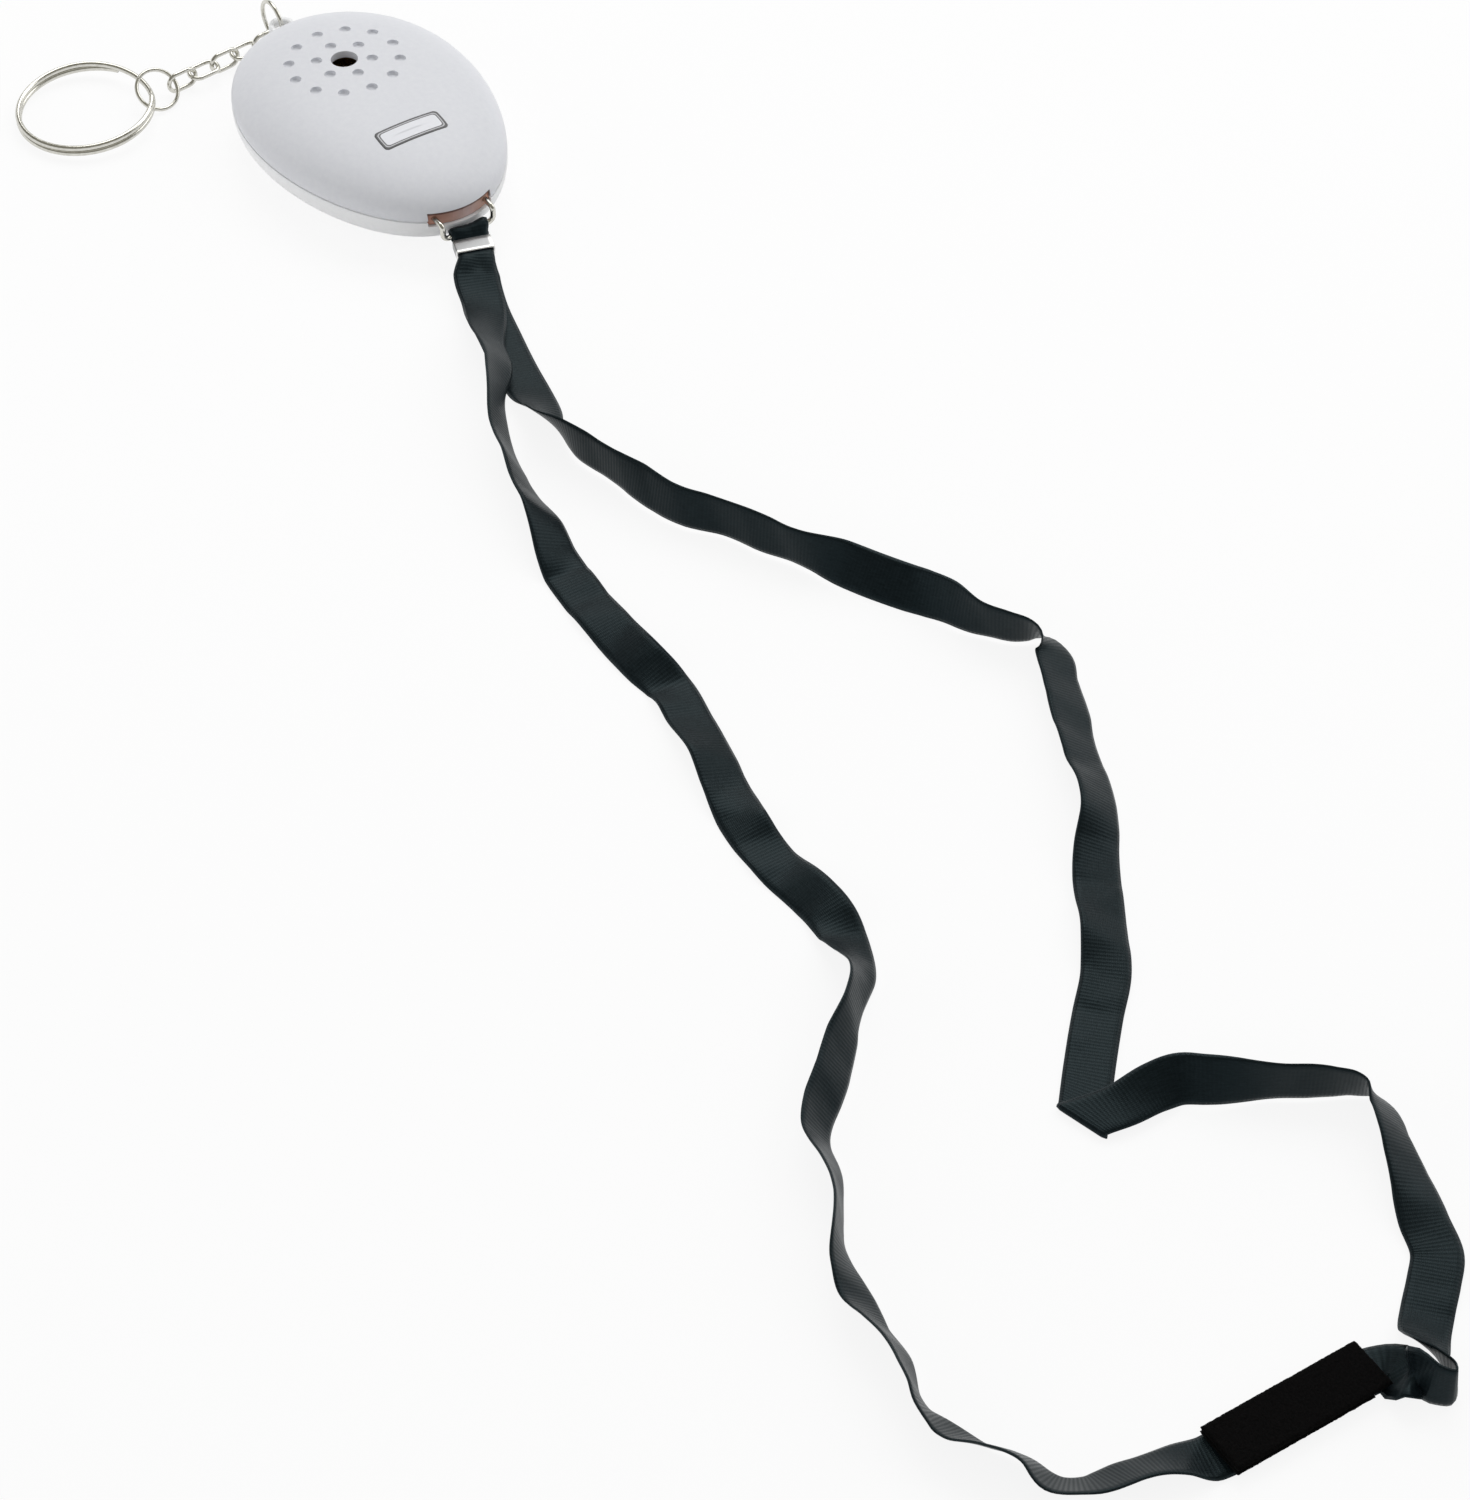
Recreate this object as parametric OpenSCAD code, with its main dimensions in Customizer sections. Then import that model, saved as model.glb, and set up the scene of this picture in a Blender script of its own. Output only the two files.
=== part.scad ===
// Pull-pin personal alarm: an egg-shaped two-shell case with a siren inside, a key chain on a
// lug at the round end, and a ribbon neck lanyard that pulls a plug out of the narrow end.
// Millimetres, +Z up, +X towards the lanyard. The origin is the middle of the flat underside.

/* [Case] */
// Length of the egg-shaped case along X
case_l = 69.4; // [66:0.2:76]
// Width of the case along Y
case_w = 48.4; // [46:0.2:54]
// Height of the parting line above the table
seam_h = 8.3; // [8:0.1:9.4]
// Rise of the upper shell above the parting line
dome_h = 8.4; // [8:0.1:11]
// Wall thickness of both shells
wall = 1.6; // [1.4:0.1:1.9]

/* [Sound grille] */
// Distance of the grille's centre behind the middle of the case
grille_back = 11.2; // [9:0.1:13]
// Diameter of the sound hole in the middle of the grille
sound_hole_d = 5.4; // [4:0.1:7]
// Diameter of the dimples round it
dimple_d = 2.3; // [1.6:0.1:2.8]
// Radius of the outer circle of dimples
grille_r = 11; // [9:0.1:11.5]

/* [Pull plug] */
// Width of the slot for the pull plug
slot_w = 14; // [13.8:0.1:16]
// Height of the slot
slot_h = 3; // [2.8:0.1:3.4]
// How far the plug slides out
pull_travel = 14; // [12:0.5:15]
// Wire diameter of the bail
bail_d = 1.1; // [0.9:0.1:1.2]

/* [Lanyard] */
// Width of the ribbon
ribbon_w = 8.5; // [7.5:0.1:8.7]
// Thickness of the ribbon
ribbon_t = 0.6; // [0.5:0.05:0.65]
// Length of the hook-and-loop strips of the breakaway
breakaway_l = 29.5; // [28:0.5:29.5]

/* [Key chain] */
// Outer diameter of the split key ring
key_ring_d = 28; // [24:0.5:34]
// Wire diameter of the split key ring
key_wire = 1.15; // [1:0.05:1.2]
// Outer length of a small chain link
link_l = 7.2; // [7:0.1:8]
// Outer width of a small chain link
link_w = 4.6; // [4.4:0.1:5]
// Wire diameter of the small links and the lug ring
link_wire = 0.9; // [0.8:0.05:0.95]

/* [Hidden] */
$fn = 48;

// Egg shape: a superellipse dome over an egg plan that is fuller at the round end
half_l = case_l / 2;
half_w = case_w / 2;
egg_bias = 0.122;
dome_power = 2.5;
belly_power = 3;
belly_h = seam_h + 0.7;
seam_gap_in = 0.5;
seam_gap_h = 0.22;
plan_steps = 60;
rise_steps = 9;

function egg(t, inset) =
    [(half_l - inset) * cos(t), (half_w - inset) * sin(t) * (1 - egg_bias * cos(t))];
function egg_y(x, inset) = let (c = x / (half_l - inset))
    (half_w - inset) * sqrt(1 - c * c) * (1 - egg_bias * c);
function egg_outline(inset) = [for (i = [0:plan_steps - 1]) egg(360 * i / plan_steps, inset)];
function egg_ring(inset, share, z) = [for (p = egg_outline(inset)) [p.x * share, p.y * share, z]];

// Share of the plan radius at which a point lies, found by repeated correction
function plan_share(x, y, inset, r = 0.5, n = 14) =
    n == 0 ? r : let (c = x / (half_l - inset) / r,
                      s = y / ((half_w - inset) * r * (1 - egg_bias * c)))
                 plan_share(x, y, inset, r * sqrt(c * c + s * s), n - 1);
function dome_z(x, y, inset = 0) =
    seam_h + (dome_h - inset) * pow(1 - pow(plan_share(x, y, inset), dome_power), 1 / dome_power);

function dome_rings(inset) = [for (i = [0:rise_steps - 1]) let (f = 90 * i / rise_steps)
    egg_ring(inset, pow(cos(f), 2 / dome_power),
             seam_h + (dome_h - inset) * pow(sin(f), 2 / dome_power))];
function belly_rings(inset) = [for (i = [0:rise_steps - 1]) let (f = 90 * i / rise_steps)
    egg_ring(inset, pow(cos(f), 2 / belly_power),
             max(inset, seam_h - (belly_h - inset) * pow(sin(f), 2 / belly_power)))];

// The step at a shell's rim that leaves a fine groove along the parting line
function rim_rings(rise) = [egg_ring(seam_gap_in, 1, seam_h), egg_ring(seam_gap_in, 1, seam_h + rise),
                            egg_ring(0, 1, seam_h + rise)];

// One closed skin between an outer and an inner stack of rings, each closed by its own apex
module skin(outer, outer_top, inner, inner_top, flip) {
    m = plan_steps;
    a = len(outer);
    b = len(inner);
    points = concat([for (r = outer) for (p = r) p], [for (r = inner) for (p = r) p],
                    [outer_top, inner_top]);
    function wall_faces(first, count) = [for (i = [0:count - 2]) for (j = [0:m - 1])
        let (k = (j + 1) % m, lo = first + i * m, hi = lo + m)
        each [[lo + j, hi + j, hi + k], [lo + j, hi + k, lo + k]]];
    function cap_faces(ring, top) = [for (j = [0:m - 1]) [ring + j, top, ring + (j + 1) % m]];
    function turned(faces) = [for (f = faces) [f[2], f[1], f[0]]];
    outside = concat(wall_faces(0, a), cap_faces((a - 1) * m, (a + b) * m));
    inside = concat(wall_faces(a * m, b), cap_faces((a + b - 1) * m, (a + b) * m + 1));
    rim = [for (j = [0:m - 1]) let (k = (j + 1) % m)
        each [[j, k, a * m + k], [j, a * m + k, a * m + j]]];
    faces = concat(outside, turned(inside), rim);
    polyhedron(points, flip ? turned(faces) : faces);
}

// Stack inside the case, from the floor up
cell_d = 11.6;
cell_h = 5.4;
strip_t = 0.6;
cell_z = wall + strip_t;
board_t = 1;
board_z = cell_z + cell_h + strip_t;
board_top = board_z + board_t;
board_in = wall + 2.4;
cells = [[-16, -6.6], [-4.2, 0], [-16, 6.6]];
pocket_wall = 1;
pocket_gap = 0.2;
pocket_h = 3.2;
cell_strip_w = 4;

// Parts on the board
chip_x = 5;
chip = [4, 5, 1.6];
coil_at = [9.5, -7.4];
coil_d = 6.4;
coil_h = 3.6;
flange_t = 0.6;
transistor_at = [9.5, 7];
transistor_d = 4.6;
transistor_h = 3.6;
resistor_d = 1.6;
resistor_l = 3.4;
resistor_y = 3.6;

// Screws run up through the lower shell and the board into the upper shell
screw_d = 2.2;
screw_head_d = 3.8;
screw_head_h = 1.5;
screw_seat = 3.2;
screw_gap = 0.2;
screw_hole_r = screw_d / 2 + screw_gap;
screw_back_in = 13.7;
screw_front_in = 18.7;
screw_back_rim = 0.68;
screw_front_rim = 2.85;
screw_back_x = screw_back_in - half_l;
screw_front_x = half_l - screw_front_in;
screw_back_y = egg_y(screw_back_x, board_in) - screw_hole_r - screw_back_rim;
screw_front_y = egg_y(screw_front_x, board_in) - screw_hole_r - screw_front_rim;
screws = [for (side = [-1, 1]) each [[screw_back_x, side * screw_back_y],
                                     [screw_front_x, side * screw_front_y]]];
boss_d = 4.4;
screw_end = board_top + 2.4;

// Siren under the grille
grille_x = -grille_back;
chamber_d = 25.6;
chamber_wall = 1.4;
chamber_lip = 0.2;
retainer_h = 1.4;
retainer_w = 2;
lead_d = 0.7;
lead_in = 4.5;
lead_gap = 1.2;
plate_gap = 0.3;
plate_t = 0.3;
ceramic_rim = 0.75;
ceramic_d = chamber_d - 2 * (retainer_w + lead_gap + lead_d / 2 + ceramic_rim);
ceramic_t = 0.25;
plate_z = board_top + retainer_h;
chamber_z = plate_z + plate_t;
dimple_deep = 0.8;

// Blank badge on the slope towards the narrow end
badge_x = 15;
badge_l = 14.2;
badge_w = 5.4;
badge_t = 0.7;
badge_proud = 0.08;
badge_gap = 0.1;
badge_slope = atan((dome_z(badge_x + 1, 0) - dome_z(badge_x - 1, 0)) / 2);

// Plug, bail and switch. The blade lies in the plane of the board, between the two leaves
plug_gap = 0.18;
plug_z = board_z + board_t / 2;
plug_deep = 4.4;
plug_back = half_l - plug_deep;
plug_in = 0.6;
leaf_t = 0.3;
leaf_w = 4;
leaf_root_in = 19.2;
leaf_tip_in = 7.7;
leaf_root = half_l - leaf_root_in;
leaf_tip = half_l - leaf_tip_in;
leaf_gap = 0.15;
anchor_l = 3.5;
anchor_h = 1.2;
blade_w = 5;
blade_tip = plug_back - pull_travel + 1.8;
blade_low = board_z + 0.1;
blade_high = board_top - 0.1;
blade_edge_t = 0.15;
board_end = leaf_root - leaf_gap;
bail_y = slot_w / 2 - 1.4;
bail_x = half_l + 1.2;
bail_bend = 1;
bail_corner = 1.4;
bail_bar_z = 5.5;
bail_hole_d = bail_d + 0.1;

// Lug and chain. The chain runs from the lug ring along a line turned a little off -Y
lug_t = 1.8;
lug_top = seam_h - 0.1;
lug_hole_x = -half_l - 3.1;
lug_hole_d = 3;
lug_d = 5.4;
ring_mean = 4.15;
link_flat = 2;
link_up = 86;
link_lift = 0.03;
chain_z = (link_w - link_wire) / 2 * sin(link_up) + link_wire / 2 + link_lift;
ring_z = chain_z + ring_mean;
ring_x = lug_hole_x - ring_mean * cos(asin((lug_top - lug_t / 2 - ring_z) / ring_mean));
chain_turn = 5.8;
chain_slack = 0.25;
ring_slack = 0.4;
jump_slack = 0.55;
key_slack = 1.5;
link_end = (link_l - link_wire) / 2;
link_step = 2 * link_end - link_wire - chain_slack;
link_first = link_end - link_wire - ring_slack;
jump_mean = 4.25;
jump_wire = 0.8;
jump_lean = 35;
jump_z = jump_wire / 2 + jump_mean * sin(jump_lean);
link_last = link_first + 4 * link_step;
jump_s = link_last + link_end - link_wire / 2 - jump_wire / 2 + jump_mean - jump_slack;
key_mean = (key_ring_d - key_wire) / 2;
key_turn = -22;
key_cross_s = jump_s + key_slack;
key_pitch = key_wire + 0.05;
key_rest_z = key_pitch / 2 + key_wire / 2;
key_slope = asin((jump_z - key_rest_z) / (2 * key_mean));
key_turn_steps = 30;
key_sides = 8;
key_start = 140;
key_turns = 1.84;

// Crimp clamp and the ribbon's two layers inside it. The clamp gathers the ribbon to a share of
// its width
clamp_l = 3.8;
gather = 0.78;
clamp_slot_w = ribbon_w * gather + 0.2;
clamp_t = 0.4;
clamp_low = 3.6;
clamp_turn = -17;
layer_gap = 0.05;
clamp_h = 2 * clamp_t + 2 * ribbon_t + 3 * layer_gap;
layer_low = clamp_low + clamp_t + layer_gap + ribbon_t / 2;
layer_high = layer_low + ribbon_t + layer_gap;
eye_r = bail_d / 2 + ribbon_t / 2 + 0.2;

// Lanyard route on the table. Each station is x, y, lean of the ribbon about its own line in
// degrees, and lift off the table. A fifth value marks a flat crease and gives its direction
front_route = [
    [46, -4.5, 0, 3.4], [53, -7, 8, 1.8], [64, -12.5, 40, 2], [72, -15, 50, 2.8], [78, -19, 66, 2.4],
    [88, -24, 64, 0.6], [98, -26.5, 56, 0], [113, -29.5, 34, 0], [123, -31.5, 4, 0],
    [140, -32.5, -10, 0], [150, -32.5, -16, 0], [158, -31.5, 0, 0], [167.5, -33, 12, 0],
    [184, -36.5, 12, 0], [192.5, -38.5, -10, 0], [202, -39, -4, 0], [217.5, -38, -12, 0],
    [224.5, -39, 18, 0], [230.5, -41, 42, 0], [234, -43, 62, 0], [239, -48, 68, 0],
    [248.5, -58, 54, 0], [253.5, -63.5, 52, 0], [257.5, -67, 52, 0], [266, -70, 68, 0],
    [271.5, -72.5, 78, 0], [277, -75.5, 80, 0], [282, -78, 54, 0], [287, -79.5, 38, 0],
    [293, -80, 50, 0], [299, -80.5, 62, 0], [307, -82.5, 70, 0], [310.5, -83, 58, 0],
    [314, -82, 42, 0], [321.5, -79, 54, 0], [327, -76, 50, 0], [331.5, -74.5, 36, 0],
    [335, -70, 40, 0], [336, -63, 34, 0], [338, -55.5, 20, 0], [339.5, -51, 0, 0], [340, -45, 0, 0],
    [340, -38, 0, 0]];
back_route = [
    [46, -4, 0, 2.4], [51.5, -6, 0, 1], [62, -8.5, 4, 0], [70.5, -10.5, 4, 0], [78.5, -12, 8, 0],
    [84, -13, 24, 0], [88.5, -14.5, 48, 0], [95, -14.5, 78, 0], [108.5, -11, 96, 0],
    [122.5, -7, 98, 0], [135, 0.5, 96, 0], [147, 7, 100, 0], [152, 10, 122, 0], [164, 17, 130, 0],
    [170, 20, 112, 0], [176, 22, 88, 0], [181, 25, 84, 0], [184.5, 27.5, 68, 0], [187.5, 28.5, 36, 0],
    [194, 26.5, 34, 0], [207, 20.5, 30, 0], [214, 17.5, 30, 0], [218, 16, 38, 0], [224.5, 12.5, 38, 0],
    [236, 4, 10, 0], [246, -2, 14, 0], [253.5, -7, 8, 0], [259.5, -13, 0, 0], [267.5, -20.5, 0, 0],
    [276.5, -28.5, 0, 0.4, 196], [278, -22, 174, 1], [278.5, -15.5, 156, 0.6], [279.5, -12, 136, 0],
    [282.5, -8.5, 120, 0], [288.5, -1, 100, 0], [294, 8, 84, 0], [296, 11, 78, 0], [298, 12.5, 70, 0],
    [301, 12.5, 50, 0], [307, 10, 42, 0], [314.5, 7.5, 28, 0], [322, 4.5, 10, 0], [328.5, 2, -4, 0],
    [332, -1.5, -2, 0], [336, -6, 0, 0], [340, -10, 14, 0], [343.5, -12, 50, 0], [347, -12.5, 76, 0],
    [350, -12.5, 82, 0], [351.5, -14, 86, 0], [349.5, -16, 80, 0], [346, -17, 66, 0],
    [345, -18, 24, 0], [342, -17.5, 16, 0], [340.5, -19, 2, 0], [340, -21, 0, 0.2], [340, -23, 0, 0.4]];
breakaway_x = 340;
breakaway_w = ribbon_w + 1.1;
breakaway_y = -49.5;
hook_t = 1;
loop_t = 1;
strip_gap = 0.05;
hook_z = ribbon_t + strip_gap;
back_end_y = -23;
hook_l = back_end_y - breakaway_y - 0.3;

function across_of(heading, lean) = [sin(heading) * cos(lean), -cos(heading) * cos(lean), sin(lean)];
function station_z(p) = ribbon_t / 2 + p[3] + ribbon_w / 2 * abs(sin(p[2]));
function laid(route) = [for (i = [0:len(route) - 1])
    let (p = route[i], a = route[max(i - 1, 0)], b = route[min(i + 1, len(route) - 1)],
         h = atan2(b.y - a.y, b.x - a.x), at = [p.x, p.y, station_z(p)])
    len(p) > 4 ? [at, [cos(p[4]), sin(p[4]), 0], [0, 0, 1]]
               : [at, across_of(h, p[2]), [cos(h), sin(h), 0]]];
function backwards(list) = [for (i = [len(list) - 1:-1:0]) [list[i][0], list[i][1], -list[i][2]]];

// Round the bail: up out of the clamp, over the bar, behind it and back under it. On the bar the
// ribbon keeps eye_share of its width
function eye_at(run, z) = [bail_x + run * cos(clamp_turn), run * sin(clamp_turn), z];
function eye_station(run, z, pitch, turn, share) =
    [eye_at(run, z), across_of(turn, 0) * share,
     [cos(clamp_turn) * cos(pitch), sin(clamp_turn) * cos(pitch), sin(pitch)]];
clamp_run = eye_r + 1.4;
clamp_out = clamp_run + clamp_l + 0.4;
eye_share = 0.95;
eye = concat(
    [for (run = [clamp_out, clamp_run]) eye_station(run, layer_high, 180, clamp_turn, gather)],
    [for (f = [70:40:270]) eye_station(eye_r * cos(f), bail_bar_z + eye_r * sin(f), f + 90, 0, eye_share)],
    [for (run = [clamp_run, clamp_out]) eye_station(run, layer_low, 0, clamp_turn, gather)]);
lanyard_stations = concat(backwards(laid(front_route)), eye, laid(back_route));

// A flat strip swept along stations of centre, direction across and direction along
module strip(stations, width, thick) {
    corners = [[1, 1], [-1, 1], [-1, -1], [1, -1]];
    last = len(stations) - 1;
    points = [for (s = stations) for (c = corners)
        let (up = cross(s[2], s[1]) / norm(cross(s[2], s[1])))
        s[0] + s[1] * c[0] * width / 2 + up * c[1] * thick / 2];
    sides = [for (i = [0:last - 1]) for (j = [0:3]) let (a = 4 * i + j, b = 4 * i + (j + 1) % 4)
        each j < 2 ? [[a, b, b + 4], [a, b + 4, a + 4]] : [[a, b, a + 4], [b, b + 4, a + 4]]];
    end = 4 * last;
    caps = [[0, 2, 1], [0, 3, 2], [end, end + 1, end + 2], [end, end + 2, end + 3]];
    polyhedron(points, concat(sides, caps));
}

// A round wire ring in the XY plane
module wire_ring(mean, wire) {
    rotate_extrude() translate([mean, 0]) circle(d = wire);
}

// A long wire link in the XY plane, its length along Y
module wire_link(length, width, wire) {
    mean = (width - wire) / 2;
    straight = length - width;
    for (side = [-1, 1]) {
        translate([side * mean, 0, 0]) rotate([90, 0, 0])
            cylinder(d = wire, h = straight, center = true);
        translate([0, side * straight / 2, 0]) rotate([0, 0, side > 0 ? 0 : 180])
            rotate_extrude(angle = 180) translate([mean, 0]) circle(d = wire);
    }
}

// Places a child on the chain's line, at a distance from the lug ring's centre
module on_chain(distance, z, lean) {
    translate([ring_x, 0, z]) rotate([0, 0, chain_turn]) translate([0, -distance, 0])
        rotate([0, lean, 0]) children();
}

module chain_link(index) {
    on_chain(link_first + index * link_step, chain_z, index % 2 == 0 ? link_up : link_flat)
        wire_link(link_l, link_w, link_wire);
}

// The plug's slot, cut through both shells at the narrow end
module slot_cut() {
    translate([plug_back - 1.2, -slot_w / 2, plug_z - slot_h / 2]) cube([10, slot_w, slot_h]);
}

// Places a child in the badge's recess
module on_badge() {
    translate([badge_x, 0, dome_z(badge_x, 0) + badge_proud - badge_t])
        rotate([0, -badge_slope, 0]) children();
}

module upper_shell() {
    color("gainsboro") difference() {
        union() {
            skin(concat(rim_rings(seam_gap_h), [for (i = [1:rise_steps - 1]) dome_rings(0)[i]]),
                 [0, 0, seam_h + dome_h], dome_rings(wall), [0, 0, seam_h + dome_h - wall], false);
            translate([grille_x, 0, chamber_z]) difference() {
                cylinder(d = chamber_d + 2 * chamber_lip,
                         h = dome_z(grille_x - chamber_d / 2, 0, wall) + 0.5 - chamber_z);
                translate([0, 0, -1])
                    cylinder(d = chamber_d + 2 * chamber_lip - 2 * chamber_wall, h = 2 * dome_h);
            }
            for (p = screws) {
                reach = p * (1 + boss_d / 2 / norm(p));
                translate([p.x, p.y, board_top])
                    cylinder(d = boss_d, h = dome_z(reach.x, reach.y) - 0.3 - board_top);
            }
        }
        slot_cut();
        translate([grille_x, 0, seam_h]) cylinder(d = sound_hole_d, h = 2 * dome_h);
        for (ring = [[grille_r, 12], [grille_r / 2, 6]]) for (i = [0:ring[1] - 1]) {
            x = grille_x + ring[0] * cos(360 * i / ring[1]);
            y = ring[0] * sin(360 * i / ring[1]);
            translate([x, y, dome_z(x, y) - dimple_deep]) cylinder(d = dimple_d, h = dome_h);
        }
        on_badge() translate([-badge_w / 2 - badge_gap, -badge_l / 2 - badge_gap, 0])
            cube([badge_w + 2 * badge_gap, badge_l + 2 * badge_gap, 4]);
        for (p = screws) translate([p.x, p.y, board_top - 1])
            cylinder(d = screw_d, h = screw_end - board_top + 1.4);
    }
}

module lower_shell() {
    color("whitesmoke") difference() {
        union() {
            skin(concat(rim_rings(-seam_gap_h), [for (i = [1:rise_steps - 1]) belly_rings(0)[i]]),
                 [0, 0, 0], belly_rings(wall), [0, 0, wall], true);
            translate([0, 0, lug_top - lug_t]) linear_extrude(lug_t) union() {
                translate([lug_hole_x, 0]) circle(d = lug_d);
                translate([lug_hole_x, -lug_d / 2]) square([-half_l + wall / 2 - lug_hole_x, lug_d]);
            }
            for (p = screws) translate([p.x, p.y, screw_seat - 1.4]) {
                cylinder(d = boss_d + 1.4, h = 2.8);
                cylinder(d = boss_d, h = board_z - screw_seat + 1.4);
            }
            for (p = cells) translate([p.x, p.y, wall / 2])
                cylinder(d = cell_d + 2 * (pocket_gap + pocket_wall), h = wall / 2 + pocket_h);
        }
        for (p = cells) translate([p.x, p.y, wall]) cylinder(d = cell_d + 2 * pocket_gap, h = 10);
        for (p = screws) {
            translate([p.x, p.y, -1]) cylinder(d = screw_head_d + 2 * screw_gap, h = screw_seat + 1);
            translate([p.x, p.y, 0]) cylinder(d = screw_d + 2 * screw_gap, h = 2 * seam_h);
        }
        translate([lug_hole_x, 0, 0]) cylinder(d = lug_hole_d, h = 2 * seam_h);
        for (s = [0, 1]) let (a = cells[s], b = cells[s + 1]) translate([0, 0, wall])
            linear_extrude(10) strip_plan(a, b, cell_strip_w + 1);
        slot_cut();
    }
}

module badge_plate() {
    color("silver") on_badge() translate([-badge_w / 2, -badge_l / 2, 0])
        cube([badge_w, badge_l, badge_t]);
}

module case_screws() {
    color("darkgray") for (p = screws) translate([p.x, p.y, 0]) difference() {
        union() {
            translate([0, 0, screw_seat - screw_head_h]) cylinder(d = screw_head_d, h = screw_head_h);
            translate([0, 0, screw_seat - 0.1]) cylinder(d = screw_d, h = screw_end - screw_seat + 0.1);
        }
        for (turn = [0, 90]) translate([0, 0, screw_seat - screw_head_h]) rotate([0, 0, turn])
            cube([2.4, 0.6, 1.4], center = true);
    }
}

module circuit_board() {
    color("peru") translate([0, 0, board_z]) difference() {
        linear_extrude(board_t) intersection() {
            polygon(egg_outline(board_in));
            translate([-half_l, -half_w]) square([half_l + board_end, case_w]);
        }
        for (p = screws) translate([p.x, p.y, -1]) cylinder(r = screw_hole_r, h = board_t + 2);
    }
}

module sounder_retainer() {
    color("dimgray") translate([grille_x, 0, board_top]) difference() {
        cylinder(d = chamber_d, h = retainer_h);
        translate([0, 0, -1]) cylinder(d = chamber_d - 2 * retainer_w, h = retainer_h + 2);
    }
}

module piezo_plate() {
    color("goldenrod") translate([grille_x, 0, plate_z]) cylinder(d = chamber_d - 2 * plate_gap, h = plate_t);
}

module piezo_ceramic() {
    color("ivory") translate([grille_x, 0, plate_z - ceramic_t]) cylinder(d = ceramic_d, h = ceramic_t);
}

module sounder_leads() {
    color("firebrick") {
        translate([grille_x + ceramic_d / 2 - lead_in, 0, board_top])
            cylinder(d = lead_d, h = retainer_h - ceramic_t);
        translate([grille_x + chamber_d / 2 - retainer_w - lead_gap, 0, board_top])
            cylinder(d = lead_d, h = retainer_h);
    }
}

module siren_chip() {
    color("black") translate([chip_x - chip.x / 2, -chip.y / 2, board_top]) cube(chip);
}

module step_up_coil() {
    color("sienna") translate([coil_at.x, coil_at.y, board_top + flange_t]) difference() {
        cylinder(d = coil_d - 0.8, h = coil_h - 2 * flange_t);
        translate([0, 0, -1]) cylinder(d = coil_d / 2, h = coil_h + 2);
    }
}

module coil_core() {
    color("darkslategray") translate([coil_at.x, coil_at.y, board_top]) {
        cylinder(d = coil_d, h = flange_t);
        translate([0, 0, coil_h - flange_t]) cylinder(d = coil_d, h = flange_t);
        cylinder(d = coil_d / 2 - 0.02, h = coil_h);
    }
}

module transistor() {
    color("black") translate([transistor_at.x, transistor_at.y, board_top]) intersection() {
        cylinder(d = transistor_d, h = transistor_h);
        translate([-transistor_d / 2, -transistor_d * 0.3, 0])
            cube([transistor_d, transistor_d, transistor_h]);
    }
}

module resistors() {
    color("burlywood") for (side = [-1, 1])
        translate([chip_x - resistor_l / 2, side * resistor_y, board_top + resistor_d / 2])
            rotate([0, 90, 0]) cylinder(d = resistor_d, h = resistor_l);
}

module button_cells() {
    color("lightsteelblue") for (p = cells) translate([p.x, p.y, cell_z]) union() {
        cylinder(d = cell_d, h = cell_h - 0.6);
        cylinder(d = cell_d - 1.6, h = cell_h);
    }
}

// Spring strips over and under the cells join them in series
module strip_plan(a, b, width) {
    run = b - a;
    translate(a) rotate(atan2(run.y, run.x)) translate([-3, -width / 2]) square([norm(run) + 6, width]);
}

module cell_link_lower() {
    color("silver") translate([0, 0, wall]) linear_extrude(strip_t)
        strip_plan(cells[0], cells[1], cell_strip_w);
}

module cell_link_upper() {
    color("silver") translate([0, 0, cell_z + cell_h]) linear_extrude(strip_t)
        strip_plan(cells[1], cells[2], cell_strip_w);
}

module positive_contact() {
    color("silver") translate([cells[0].x, cells[0].y, cell_z + cell_h]) cylinder(d = 6, h = strip_t);
}

module negative_contact() {
    color("silver") translate([cells[2].x, cells[2].y, wall]) cylinder(d = 8, h = strip_t);
}

module switch_anchor() {
    color("dimgray") translate([board_end - anchor_l, -leaf_w / 2, board_top])
        cube([anchor_l, leaf_w, anchor_h]);
}

// The upper leaf drops onto the lower one as the blade leaves
module contact_leaf_upper() {
    color("gold") translate([leaf_root, -leaf_w / 2, board_top])
        cube([leaf_tip - leaf_root, leaf_w, leaf_t]);
}

module contact_leaf_lower() {
    color("gold") translate([board_end - anchor_l, -leaf_w / 2, board_z - leaf_t])
        cube([leaf_tip - board_end + anchor_l, leaf_w, leaf_t]);
}

// Plug head in the slot, with a tapered blade that holds the leaves apart
module pull_plug() {
    head_w = slot_w - 2 * plug_gap;
    head_h = slot_h - 2 * plug_gap;
    color("rosybrown") difference() {
        union() {
            translate([0, 0, plug_z - head_h / 2]) linear_extrude(head_h) intersection() {
                polygon(egg_outline(plug_in));
                translate([plug_back, -head_w / 2]) square([half_l, head_w]);
            }
            translate([0, blade_w / 2, 0]) rotate([90, 0, 0]) linear_extrude(blade_w)
                polygon([[blade_tip, blade_low], [plug_back + 0.1, blade_low], [plug_back + 0.1, blade_high],
                         [leaf_tip, blade_high], [blade_tip, blade_low + blade_edge_t]]);
        }
        for (side = [-1, 1]) translate([plug_back + 0.8, side * bail_y, plug_z]) rotate([0, 90, 0])
            cylinder(d = bail_hole_d, h = half_l);
    }
}

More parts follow.
